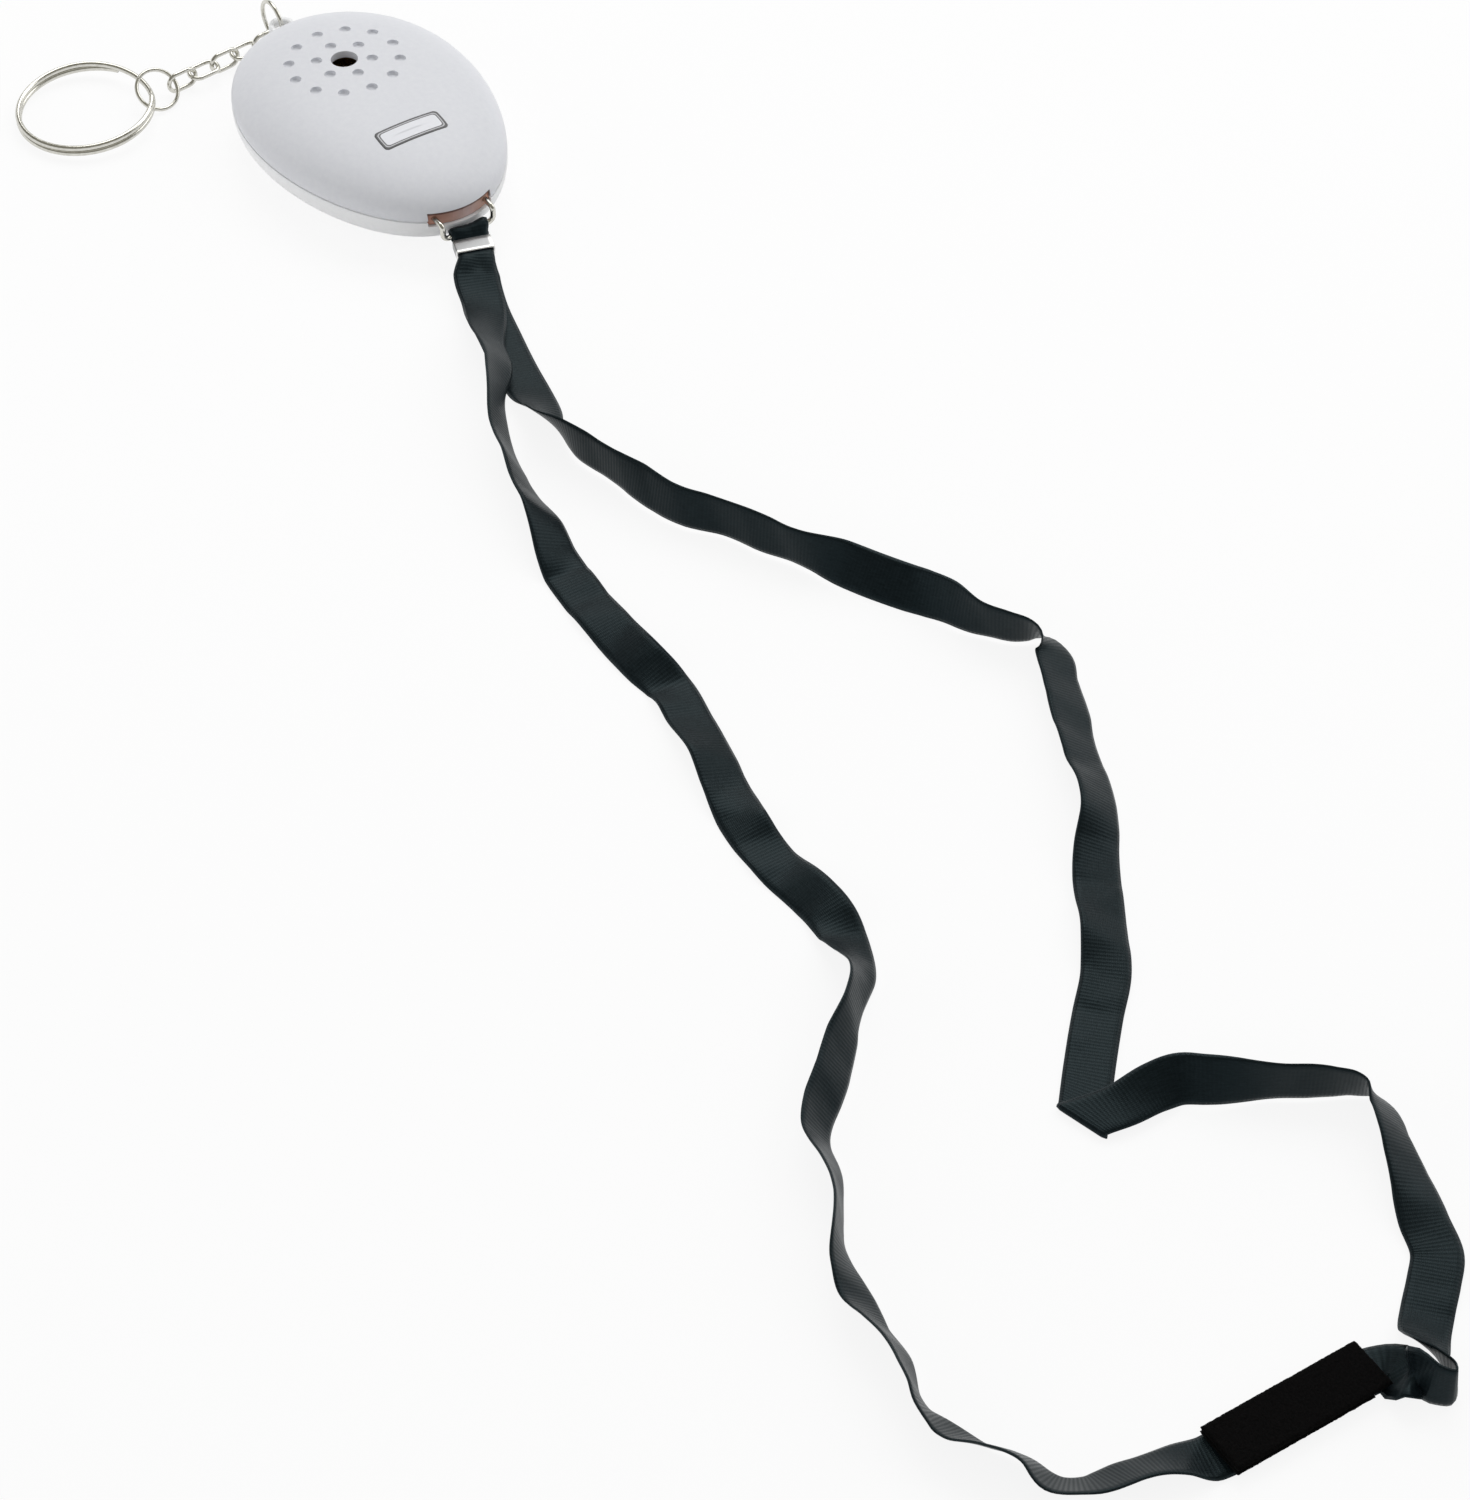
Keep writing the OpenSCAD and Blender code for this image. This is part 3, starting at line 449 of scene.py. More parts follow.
# CIRCUIT BOARD
# A bare phenolic board across the middle of the case carries the siren chip, the step-up coil on
# its ferrite core, a transistor and two resistors.
dress(grained("phenolic_board", (0.36, 0.22, 0.1), (0.48, 0.32, 0.17), 420, (0.48, 0.62), 0.1, 0.0001,
              (1, 5, 1)), "circuit_board")
dress(grained("moulded_black", (0.016, 0.016, 0.018), (0.032, 0.032, 0.035), 2500, (0.38, 0.55), 0.15,
              0.00005), "siren_chip", "transistor", "sounder_retainer", "switch_anchor")
dress(grained("enamelled_winding", (0.34, 0.12, 0.04), (0.56, 0.24, 0.09), 900, (0.2, 0.4), 0.6, 0.0001,
              (0.1, 0.1, 6), Metallic=0.8), "step_up_coil")
dress(grained("ferrite", (0.03, 0.03, 0.032), (0.06, 0.06, 0.065), 3000, (0.5, 0.7), 0.2, 0.00005),
      "coil_core")
dress(grained("resistor_lacquer", (0.5, 0.3, 0.14), (0.68, 0.54, 0.34), 700, (0.25, 0.4), 0.1, 0.00005,
              (3, 0.2, 0.2)), "resistors")


# SIREN
# A brass sounder plate with a ceramic disc under the grille. The plate is held between the board's
# retainer and the upper shell's chamber, and two leads reach it from the board.
dress(grained("spring_brass", (0.62, 0.42, 0.16), (0.78, 0.56, 0.25), 600, (0.2, 0.4), 0.1, 0.00005,
              (1, 12, 1), Metallic=1.0), "piezo_plate", "contact_leaf_upper", "contact_leaf_lower")
dress(grained("fired_ceramic", (0.68, 0.65, 0.56), (0.8, 0.77, 0.68), 1800, (0.5, 0.7), 0.1, 0.00005),
      "piezo_ceramic")
dress(grained("lead_sleeve", (0.34, 0.02, 0.015), (0.5, 0.05, 0.03), 2000, (0.35, 0.5), 0.1, 0.00003),
      "sounder_leads")


# CELLS
# Three button cells stand in pockets of the lower shell, joined in series by nickel strips above
# and below them.
dress(grained("cell_nickel", (0.58, 0.58, 0.56), (0.72, 0.72, 0.7), 500, (0.18, 0.36), 0.08, 0.00005,
              (1, 1, 9), Metallic=1.0),
      "button_cells", "cell_link_lower", "cell_link_upper", "positive_contact", "negative_contact")


# PULL PLUG
# The moulded plug in the slot at the narrow end, rose-brown and paler towards its middle. Its top band
# is darkened with painted shade, the shadow under the upper shell's edge, so its lower lip keeps the
# lighter tone. Its blade reaches in between the switch's leaves and holds them apart until it is pulled.
def colour_of(finish):
    """The output that gives a finish its colour so far."""
    return finish.node_tree.nodes["Principled BSDF"].inputs["Base Color"].links[0].from_socket


def shaded_along(finish, axis, low, high, stops):
    """Adds a run of tones along one of the piece's own axes, multiplied into its colour."""
    tree = finish.node_tree
    place = add_node(tree, "SeparateXYZ", add_node(tree, "TexCoord").outputs["Object"]).outputs[axis]
    run = tones(tree, spread(tree, place, low, high), stops)
    both = add_node(tree, "MixRGB", 1.0, colour_of(finish), run, blend_type="MULTIPLY")
    return shade(finish, Base_Color=both.outputs["Color"])


plug_rose = grained("plug_rose_brown", (0.84, 0.83, 0.82), (1, 1, 1), 260, (0.36, 0.5), 0.08, 0.0001,
                    (1, 1, 3))
shaded_along(plug_rose, "Y", SLOT_LOW[1], SLOT_HIGH[1], (
    (0.02, (0.5, 0.24, 0.17)), (0.3, (0.55, 0.33, 0.27)), (0.58, (0.66, 0.5, 0.48)),
    (0.8, (0.6, 0.36, 0.29)), (0.98, (0.5, 0.24, 0.16))))
# Painted shade: towards the top of the slot the plug darkens to near black, the shadow under the upper
# shell's edge.
shaded_along(plug_rose, "Z", SLOT_LOW[2], SLOT_HIGH[2], (
    (0.02, (1, 1, 1)), (0.3, (1, 1, 1)), (0.72, (0.9, 0.87, 0.86)), (0.82, (0.25, 0.2, 0.18)),
    (0.98, (0.12, 0.1, 0.1))))
dress(plug_rose, "pull_plug")


# WIRE BAIL
# A U of bright plated steel wire with both ends set in the plug. It bends down in front of the
# case, and the ribbon is folded round its bar.
BAIL_R, BAIL_Y, BAIL_X, BAIL_BACK = 0.00055, 0.0056, 0.0359, 0.0312
BAIL_TOP, BAIL_BAR, BAIL_BEND, BAIL_CORNER = 0.0087, 0.0055, 0.001, 0.0014


def quarter(centre, first, last, radius, steps=12):
    """A quarter circle from one unit direction to another about a centre."""
    a = np.linspace(0, np.pi / 2, steps)[:, None]
    return np.asarray(centre) + radius * (np.cos(a) * np.asarray(first) + np.sin(a) * np.asarray(last))


def unit(directions):
    """Directions brought to length one."""
    return directions / np.linalg.norm(directions, axis=-1, keepdims=True)


def wire(line, radius, sides=16, closed=False, across=(0.5, 0.6, 0.62)):
    """Round wire: at each point of the line a circle stands square to the line's direction. The
    circle's first radius leans towards one fixed direction that the line never runs along."""
    line, across = np.asarray(line, float), np.asarray(across, float)
    along = unit(np.roll(line, -1, 0) - np.roll(line, 1, 0) if closed else np.gradient(line, axis=0))
    side = unit(across - along * (along @ across)[:, None])
    a = np.linspace(0, 2 * np.pi, sides, endpoint=False)[None, :, None]
    ring = np.cos(a) * side[:, None] + np.sin(a) * np.cross(along, side)[:, None]
    return tube(line[:, None] + radius * ring, closed)


half_bail = np.concatenate([
    [(x, BAIL_Y, BAIL_TOP) for x in (BAIL_BACK, BAIL_BACK + 0.0006, BAIL_X - BAIL_BEND - 0.0003)],
    quarter((BAIL_X - BAIL_BEND, BAIL_Y, BAIL_TOP - BAIL_BEND), (0, 0, 1), (1, 0, 0), BAIL_BEND),
    [(BAIL_X, BAIL_Y, z) for z in (0.0075, 0.0073, 0.0071)],
    quarter((BAIL_X, BAIL_Y - BAIL_CORNER, BAIL_BAR + BAIL_CORNER), (0, 1, 0), (0, 0, -1), BAIL_CORNER),
    [(BAIL_X, y, BAIL_BAR) for y in (0.0038, 0.0025, 0.0012)]])
bail_line = np.concatenate([half_bail, [(BAIL_X, 0, BAIL_BAR)], (half_bail * (1, -1, 1))[::-1]])
plated = grained("bright_plated_wire", (0.56, 0.55, 0.5), (0.72, 0.71, 0.66), 1400, (0.1, 0.26), 0.06,
                 0.00004, Metallic=1.0)
bail = new_piece("bail_wire", wire(bail_line, BAIL_R), "plug", plated)
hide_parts("wire_bail")


# RIBBON LANYARD
# A black woven neck ribbon with fine cross ribs. It is folded round the bail at its middle, both
# layers go through the crimp clamp, and the two runs lie on the table, leaning and twisting, until
# the breakaway joins their ends. The back run is folded over once, flat, at a crease.
RIBBON_HALF, RIBBON_THICK, RIB_PITCH = 0.00425, 0.0005, 0.0007
LAYER, FOLD_RISE, PUCKER, TABLE_GAP = 0.0006, 0.0004, 0.0007, 0.00005
PACKING_BENDS = (0.0003, 185, 0.5, 0.4), (0.00022, 300, -0.7, 1.7), (0.00013, 459, 0.9, 0.6)
CLAMP_TURN, CLAMP_NEAR, CLAMP_FAR = np.radians(-17), 0.00245, 0.00665
EYE_R, LOW_LAYER, HIGH_LAYER, GATHERED, EYE_WIDE = 0.00105, 0.00435, 0.005, 0.78, 0.95
FRONT_RUN = [
    (46, -4.5, 0, 3.4), (53, -7, 8, 1.8), (64, -12.5, 40, 2), (72, -15, 50, 2.8), (78, -19, 66, 2.4),
    (88, -24, 64, 0.6), (98, -26.5, 56, 0), (113, -29.5, 34, 0), (123, -31.5, 4, 0),
    (140, -32.5, -10, 0), (150, -32.5, -16, 0), (158, -31.5, 0, 0), (167.5, -33, 12, 0),
    (184, -36.5, 12, 0), (192.5, -38.5, -10, 0), (202, -39, -4, 0), (217.5, -38, -12, 0),
    (224.5, -39, 18, 0), (230.5, -41, 42, 0), (234, -43, 62, 0), (239, -48, 68, 0),
    (248.5, -58, 54, 0), (253.5, -63.5, 52, 0), (257.5, -67, 52, 0), (266, -70, 68, 0),
    (271.5, -72.5, 78, 0), (277, -75.5, 80, 0), (282, -78, 54, 0), (287, -79.5, 38, 0),
    (293, -80, 50, 0), (299, -80.5, 62, 0), (307, -82.5, 70, 0), (310.5, -83, 58, 0),
    (314, -82, 42, 0), (321.5, -79, 54, 0), (327, -76, 50, 0), (331.5, -74.5, 36, 0),
    (335, -70, 40, 0), (336, -63, 34, 0), (338, -55.5, 20, 0), (339.5, -51, 0, 0), (340, -45, 0, 0),
    (340, -38, 0, 0)]
BACK_RUN_TO_CREASE = [
    (46, -4, 0, 2.4), (51.5, -6, 0, 1), (62, -8.5, 4, 0), (70.5, -10.5, 4, 0), (78.5, -12, 8, 0),
    (84, -13, 24, 0), (88.5, -14.5, 48, 0), (95, -14.5, 78, 0), (108.5, -11, 96, 0),
    (122.5, -7, 98, 0), (135, 0.5, 96, 0), (147, 7, 100, 0), (152, 10, 122, 0), (164, 17, 130, 0),
    (170, 20, 112, 0), (176, 22, 88, 0), (181, 25, 84, 0), (184.5, 27.5, 68, 0), (187.5, 28.5, 36, 0),
    (194, 26.5, 34, 0), (207, 20.5, 30, 0), (214, 17.5, 30, 0), (218, 16, 38, 0), (224.5, 12.5, 38, 0),
    (236, 4, 10, 0), (246, -2, 14, 0), (253.5, -7, 8, 0), (259.5, -13, 0, 0), (267.5, -20.5, 0, 0),
    (276.5, -28.5, 0, 0)]
BACK_RUN_FROM_CREASE = [
    (276.5, -28.5, 180, 0.8), (278, -22, 174, 1), (278.5, -15.5, 156, 0.6), (279.5, -12, 136, 0),
    (282.5, -8.5, 120, 0), (288.5, -1, 100, 0), (294, 8, 84, 0), (296, 11, 78, 0), (298, 12.5, 70, 0),
    (301, 12.5, 50, 0), (307, 10, 42, 0), (314.5, 7.5, 28, 0), (322, 4.5, 10, 0), (328.5, 2, -4, 0),
    (332, -1.5, -2, 0), (336, -6, 0, 0), (340, -10, 14, 0), (343.5, -12, 50, 0), (347, -12.5, 76, 0),
    (350, -12.5, 82, 0), (351.5, -14, 86, 0), (349.5, -16, 80, 0), (346, -17, 66, 0),
    (345, -18, 24, 0), (342, -17.5, 16, 0), (340.5, -19, 2, 0), (340, -21, 0, 0.2), (340, -23, 0, 0.4)]
CREASE_WAY = np.array([np.cos(np.radians(196)), np.sin(np.radians(196)), 0])


def across_of(heading, lean):
    """Direction from the ribbon's middle to its right edge: square to the heading, then turned up
    about the ribbon's own line by the lean."""
    return np.stack([np.sin(heading) * np.cos(lean), -np.cos(heading) * np.cos(lean), np.sin(lean)], -1)


def laid(run):
    """Stations of a run, from millimetres and degrees: the middle stands so high that the lower
    edge is on the table or at its lift, and the heading comes from the neighbours."""
    run = np.array(run, float)
    x, y, lift = run[:, 0] / 1000, run[:, 1] / 1000, run[:, 3] / 1000
    lean = np.radians(run[:, 2])
    ends = np.r_[0, np.arange(len(run)), len(run) - 1]
    heading = np.arctan2(y[ends[2:]] - y[ends[:-2]], x[ends[2:]] - x[ends[:-2]])
    middle = np.stack([x, y, LAYER / 2 + lift + RIBBON_HALF * abs(np.sin(lean))], -1)
    return middle, across_of(heading, lean)


def eased(values, at, fine):
    """Smooth curve through the values: cubic pieces whose slope at each station is the one between
    its neighbours."""
    slope = np.gradient(values, at, axis=0)
    i = np.clip(np.searchsorted(at, fine, side="right") - 1, 0, len(at) - 2)
    h = (at[i + 1] - at[i])[:, None]
    u = (fine - at[i])[:, None] / h
    return ((2 * u**3 - 3 * u**2 + 1) * values[i] + (u**3 - 2 * u**2 + u) * h * slope[i]
            + (3 * u**2 - 2 * u**3) * values[i + 1] + (u**3 - u**2) * h * slope[i + 1])


def distance_along(line):
    """Distance of each point of a line from its first point, along the line."""
    return np.r_[0, np.cumsum(np.linalg.norm(np.diff(line, axis=0), axis=1))]


def run_rows(middle, across, step=0.0007, slant_last=None, slant_first=None):
    """Fine rows along a run: the middle and the direction across, both eased, then squared to the
    line, with the width's share kept in the direction's length. Next to a crease the rows fan from
    square to the crease's own slant."""
    at = distance_along(middle)
    fine = np.linspace(0, at[-1], int(at[-1] / step))
    line = eased(middle, at, fine)
    along = unit(np.gradient(line, axis=0))
    side = eased(across, at, fine)
    side = unit(side - along * (side * along).sum(1, keepdims=True))
    side *= np.interp(fine, at, np.linalg.norm(across, axis=1))[:, None]
    to_last = (fine - at[-2]) / (at[-1] - at[-2])
    for slant, share in ((slant_first, 1 - fine / at[1]), (slant_last, to_last)):
        if slant is not None:
            share = np.clip(share, 0, 1)[:, None]
            side = side * (1 - share) + slant * share
    return line, side, unit(np.cross(along, side))


def fold_rows(line, side, bend, steps=7):
    """Half a turn about the crease: the ribbon's face swings from down to up while the middle
    climbs by the fold's own thickness."""
    a = np.linspace(0, np.pi, steps + 2)[1:-1, None]
    up = np.array([0, 0, 1.0])
    out = np.array([-CREASE_WAY[1], CREASE_WAY[0], 0])
    out *= np.sign(out @ bend)
    return (line + FOLD_RISE * (np.sin(a) * out + (1 - np.cos(a)) * up),
            np.repeat(side[None], steps, 0), -np.cos(a) * up + np.sin(a) * out)


def ribbon_surface(line, side, face, still):
    """Flat ribbon: a thin rounded section carried along the rows, with shallow bends left from its
    packing and puckers where its width is drawn in. Each bend is a zigzag along the ribbon, the arc
    sine of most of a sine, that runs slantwise across it and fades out over the rows marked still. A
    row that dips under the table is lifted onto it. Gives the points and, for the weave, each point's
    place across and its distance along."""
    a = np.r_[np.linspace(-1, 1, 13), np.linspace(1, -1, 13)[1:-1]]
    b = np.r_[np.ones(13), -np.ones(11)] * np.sqrt(np.clip(1 - abs(a) ** 14, 0.03, 1))
    along = distance_along(line)[:, None]
    ripple = np.zeros((len(along), len(a)))
    for size, pace, slant, start in PACKING_BENDS:
        ripple += size * np.arcsin(0.96 * np.sin(pace * along + slant * a[None] + start))
    ripple *= (1 - still)[:, None]
    drawn = np.clip((1 - np.linalg.norm(side, axis=1)) / (1 - GATHERED), 0, 1)
    ripple += PUCKER * (drawn * (1 - drawn))[:, None] * np.cos(5.2 * a + 0.7)[None]
    points = (line[:, None] + RIBBON_HALF * a[None, :, None] * side[:, None]
              + (RIBBON_THICK / 2 * b[None] + ripple)[..., None] * face[:, None])
    points[..., 2] += np.maximum(TABLE_GAP - points[..., 2].min(1), 0)[:, None]
    grid = points.shape[:2]
    return points, np.broadcast_to((a + 1) / 2, grid), np.broadcast_to(along, grid)


weave = new_finish("woven_black_ribbon", Specular_IOR_Level=0.14, Specular_Tint=(0.62, 0.92, 1, 1),
                   Sheen_Weight=0.02, Sheen_Roughness=0.45, Sheen_Tint=(0.55, 0.75, 0.85, 1))
weave_tree = weave.node_tree
cloth = add_node(weave_tree, "UVMap", uv_map="weave").outputs["UV"]
threads = add_node(weave_tree, "SeparateXYZ", cloth).outputs


def worked_out(tree, operation, *values):
    """One sum on numbers and outputs."""
    return add_node(tree, "Math", *values, operation=operation).outputs[0]


def wave_of(place, times):
    """A sine of a cloth coordinate, moved to run from nought to one."""
    turns = worked_out(weave_tree, "MULTIPLY", place, 2 * np.pi * times)
    return spread(weave_tree, worked_out(weave_tree, "SINE", turns), -1, 1)


ribs = wave_of(threads["Y"], 1.0)
warp = wave_of(threads["X"], 26.0)
relief = worked_out(weave_tree, "MULTIPLY_ADD", warp, 0.35, ribs)
raised = add_node(weave_tree, "Bump", Height=relief, Strength=0.3, Distance=0.00007)
drawn_out = add_node(weave_tree, "Mapping", cloth, Scale=(30, 0.35, 1)).outputs["Vector"]
fuzz = add_node(weave_tree, "TexNoise", Vector=drawn_out, Scale=1.0, Detail=5.0, Roughness=0.65)
black = tones(weave_tree, fuzz.outputs["Fac"],
              ((0.32, (0.003, 0.0048, 0.006)), (0.72, (0.009, 0.0135, 0.016))))
# Painted highlight: a lighter band along both edges of the ribbon stands in for light catching its rims.
out_to_edge = worked_out(weave_tree, "ABSOLUTE", spread(weave_tree, threads["X"], 0, 1, -1, 1))
painted_rim_highlight = spread(weave_tree, out_to_edge, 0.93, 0.97)
rim_highlight_mixed = add_node(weave_tree, "MixRGB", painted_rim_highlight, black, (0.028, 0.036, 0.04, 1))
shade(weave, Normal=raised.outputs["Normal"], Base_Color=rim_highlight_mixed.outputs["Color"],
      Roughness=spread(weave_tree, ribs, 0, 1, 0.3, 0.44))


def ribbon_piece(name, rows, still):
    """A ribbon object with its weave map: across from nought to one, along counted in ribs."""
    points, across, along = ribbon_surface(*rows, still)
    piece = new_piece(name, tube(points), "plug", weave)
    corner = np.empty(len(piece.data.loops), int)
    piece.data.loops.foreach_get("vertex_index", corner)
    place = np.stack([across.reshape(-1)[corner], along.reshape(-1)[corner] / RIB_PITCH], -1)
    piece.data.uv_layers.new(name="weave").data.foreach_set("uv", place.astype(np.float32).ravel())
    return piece


def eye_at(run, high):
    """A point on the clamp's line, at a distance from the bail's bar."""
    run = np.asarray(run, float)
    return np.stack([BAIL_X + run * np.cos(CLAMP_TURN), run * np.sin(CLAMP_TURN),
                     np.broadcast_to(high, run.shape)], -1)


round_bar = np.radians(np.arange(270, 69, -20.0))
eye_middle = np.concatenate([eye_at([CLAMP_FAR, CLAMP_NEAR], LOW_LAYER),
                             eye_at(EYE_R * np.cos(round_bar), BAIL_BAR + EYE_R * np.sin(round_bar)),
                             eye_at([CLAMP_NEAR, CLAMP_FAR], HIGH_LAYER)])
clamp_across = across_of(CLAMP_TURN, 0.0)
eye_across = np.concatenate([[GATHERED * clamp_across] * 2, [(0, -EYE_WIDE, 0)] * len(round_bar),
                             [GATHERED * clamp_across] * 2])

def fading(distance, whole, length):
    """One up to a whole distance, then down to nought over a length."""
    return np.clip(1 - (distance - whole) / length, 0, 1)


front_middle, front_across = laid(FRONT_RUN)
front_rows = run_rows(np.concatenate([eye_middle, front_middle]), np.concatenate([eye_across, front_across]))
front_along = distance_along(front_rows[0])
front_still = fading(front_along, 0.055, 0.025) + fading(front_along[-1] - front_along, 0.015, 0.015)
front_ribbon = ribbon_piece("ribbon_front_run", front_rows, np.clip(front_still, 0, 1))
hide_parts("lanyard")

to_middle, to_across = laid(BACK_RUN_TO_CREASE)
to_middle = np.concatenate([eye_at([CLAMP_FAR], LOW_LAYER), to_middle])
to_across = np.concatenate([[GATHERED * clamp_across], to_across])
into_crease = to_middle[-1] - to_middle[-2]
crease_slant = CREASE_WAY * np.linalg.norm(into_crease) / np.linalg.norm(np.cross(CREASE_WAY, into_crease))
to_rows = run_rows(to_middle, to_across, slant_last=crease_slant)
from_middle, from_across = laid(BACK_RUN_FROM_CREASE)
from_rows = run_rows(from_middle, from_across, slant_first=crease_slant)
fold = fold_rows(to_rows[0][-1], to_rows[1][-1], to_rows[0][-1] - to_rows[0][-2])
back_rows = [np.concatenate(part) for part in zip(to_rows, fold, from_rows)]
back_along = distance_along(back_rows[0])
crease_along = back_along[len(to_rows[0]) + 3]
back_still = (fading(back_along, 0.045, 0.02) + fading(back_along[-1] - back_along, 0.04, 0.015)
              + fading(abs(back_along - crease_along), 0.012, 0.01))
back_ribbon = ribbon_piece("ribbon_back_run", back_rows, np.clip(back_still, 0, 1))
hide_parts("lanyard")


# CRIMP CLAMP
# A strip of satin nickel-plated steel folded flat round both layers of the ribbon, next to the
# bail, and pressed shut. Its lip on the ribbon's side and its right-hand fold carry a painted
# highlight, a near-white colour that stands in for the light they catch.
CLAMP_HALF, CLAMP_LOW, CLAMP_HIGH, CLAMP_SHEET = 0.003815, 0.0036, 0.00575, 0.0004
CLAMP_LENGTH, CLAMP_ROUND, CLAMP_SLOT_ROUND = 0.0038, 0.00035, 0.00015
CLAMP_EASE, PAINTED_GLINT_FOLD = 0.0001, 0.0006


def clamp_surface():
    """Folded sleeve: a rounded rectangle outside and a flat slot inside, both carried along the
    ribbon's line and joined by rounded end faces."""
    def loop(inset, corner):
        size = CLAMP_HALF - inset, (CLAMP_HIGH - CLAMP_LOW) / 2 - inset
        return rounded_rectangle(size, corner, 96) + np.array([0, (CLAMP_LOW + CLAMP_HIGH) / 2])

    outside, eased_out = loop(0, CLAMP_ROUND), loop(CLAMP_EASE, CLAMP_ROUND)
    inside = loop(CLAMP_SHEET, CLAMP_SLOT_ROUND)
    near, far, e = CLAMP_NEAR, CLAMP_NEAR + CLAMP_LENGTH, CLAMP_EASE
    rows = [(inside, near + e, 0), (eased_out, near, 0), (outside, near + e, 0),
            (outside, near + 0.0012, 0), (outside, far - 0.0012, 0), (outside, far - 0.0007, 0),
            (outside, far - 0.00055, 1), (outside, far - e, 1), (eased_out, far, 1), (inside, far - e, 1)]
    flat, run, lip = (np.array(part) for part in zip(*rows))
    # Marks where the painted highlight goes: the lip rows and the right-hand fold.
    painted_glint = np.maximum(lip[:, None], flat[..., 0] < PAINTED_GLINT_FOLD - CLAMP_HALF)
    x = BAIL_X + run[:, None] * np.cos(CLAMP_TURN) + flat[..., 0] * clamp_across[0]
    y = run[:, None] * np.sin(CLAMP_TURN) + flat[..., 0] * clamp_across[1]
    return np.stack([x, y, flat[..., 1]], -1), painted_glint


clamp_rows, clamp_painted_glint = clamp_surface()
clamp_steel = grained("satin_nickel_clamp", (0.31, 0.315, 0.32), (0.37, 0.375, 0.38), 700, (0.36, 0.48), 0.08,
                      0.00005, (1, 10, 1), Metallic=1.0)
# Painted highlight: the marked lip and right-hand fold are mixed to near-white for the light they catch.
painted_glint_share = add_node(clamp_steel.node_tree, "Attribute", attribute_name="painted_glint").outputs["Fac"]
glint_painted_on = add_node(clamp_steel.node_tree, "MixRGB", painted_glint_share, colour_of(clamp_steel), (0.86, 0.86, 0.85, 1))
shade(clamp_steel, Base_Color=glint_painted_on.outputs["Color"])
clamp = new_piece("clamp_sleeve", tube(clamp_rows, closed=True), "plug", clamp_steel)
mark(clamp, "painted_glint", clamp_painted_glint)
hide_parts("crimp_clamp")


# BREAKAWAY
# Two black hook-and-loop strips join the ribbon's ends and let go under a hard pull: the hook strip
# is sewn to the front run, and the longer loop strip to the back run lies on top of it.
STRIP_HALF, HOOK_LOW, HOOK_HIGH, LOOP_HIGH = 0.0048, 0.00065, 0.00165, 0.00265
STRIP_X, HOOK_SPAN, LOOP_SPAN = 0.34, (-0.0495, -0.0233), (-0.0495, -0.02)


def strip_surface(span, low, high, pile, seed):
    """A napped strip: a rounded slab whose section is carried along its length, with a pile of
    short bumps on its upper face and drawn-in ends."""
    rng = np.random.default_rng(seed)
    a = np.r_[np.linspace(-1, 1, 33), np.linspace(1, -1, 33)[1:-1]]
    b = np.r_[np.ones(33), -np.ones(31)] * np.sqrt(np.clip(1 - abs(a) ** 24, 0.05, 1))
    ends = np.r_[-1, -0.996, np.linspace(-0.985, 0.985, 96), 0.996, 1]
    draw = np.sqrt(np.clip(1 - abs(ends) ** 120, 0.04, 1))
    rows, cols = len(ends), len(a)
    shift = rng.normal(0, 0.00003, (rows, 1))
    x = STRIP_X + STRIP_HALF * a[None] * (1 - 0.01 * (1 - draw[:, None])) + shift
    y = (span[0] + span[1]) / 2 + (span[1] - span[0]) / 2 * ends[:, None] + np.zeros((1, cols))
    z = (low + high) / 2 + (high - low) / 2 * b[None] * draw[:, None]
    z = z + np.where(b[None] > 0.5, rng.normal(0, pile, (rows, cols)), 0)
    return np.stack([x, y, z], -1)


napped = grained("napped_black", (0.001, 0.001, 0.001), (0.005, 0.0045, 0.0045), 2600, (0.8, 1.0), 0.7,
                 0.0002, Specular_IOR_Level=0.02, Sheen_Weight=0.015, Sheen_Roughness=0.6)
for strip_name, node_name, strip_rows in (
        ("hook_strip", "breakaway_hook_strip", strip_surface(HOOK_SPAN, HOOK_LOW, HOOK_HIGH, 0.00001, 4)),
        ("loop_strip", "breakaway_loop_strip", strip_surface(LOOP_SPAN, HOOK_HIGH, LOOP_HIGH, 0.00004, 5))):
    strip = new_piece(strip_name, tube(strip_rows, turned=True), "plug", napped)
    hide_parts(node_name)


# KEY CHAIN
# A lug ring stands in the lug's hole, five oval wire links and a jump ring follow it, and the split
# key ring, two turns of one wire, hangs on the jump ring. All are bright nickel-plated steel.
CHAIN_START, CHAIN_TURN, CHAIN_HIGH = np.array([-0.041867, 0, 0]), np.radians(5.8), 0.0023255
LINK_R, LINK_MEAN, LINK_STRAIGHT, LINK_FIRST, LINK_STEP = 0.00045, 0.00185, 0.0026, 0.00185, 0.00515
LUG_RING_MEAN, JUMP_MEAN, JUMP_R, JUMP_AT, JUMP_HIGH = 0.00415, 0.00425, 0.0004, 0.02845, 0.002838
KEY_MEAN, KEY_R, KEY_PITCH, KEY_AT, KEY_TURN = 0.013425, 0.000575, 0.0012, 0.02995, np.radians(-22)
KEY_REST, KEY_FIRST = (KEY_PITCH + 2 * KEY_R) / 2, np.radians(140)
JUMP_LEAN, LINK_LEANS = np.radians(35), np.radians((86, 2, 86, 2, 86))


def spun(points, axis, angle):
    """Points turned about a row axis through the origin by the right-hand rule."""
    c, s = np.cos(angle), np.sin(angle)
    i, j = (axis + 1) % 3, (axis + 2) % 3
    points = np.array(points, float)
    points[:, i], points[:, j] = points[:, i] * c - points[:, j] * s, points[:, i] * s + points[:, j] * c
    return points


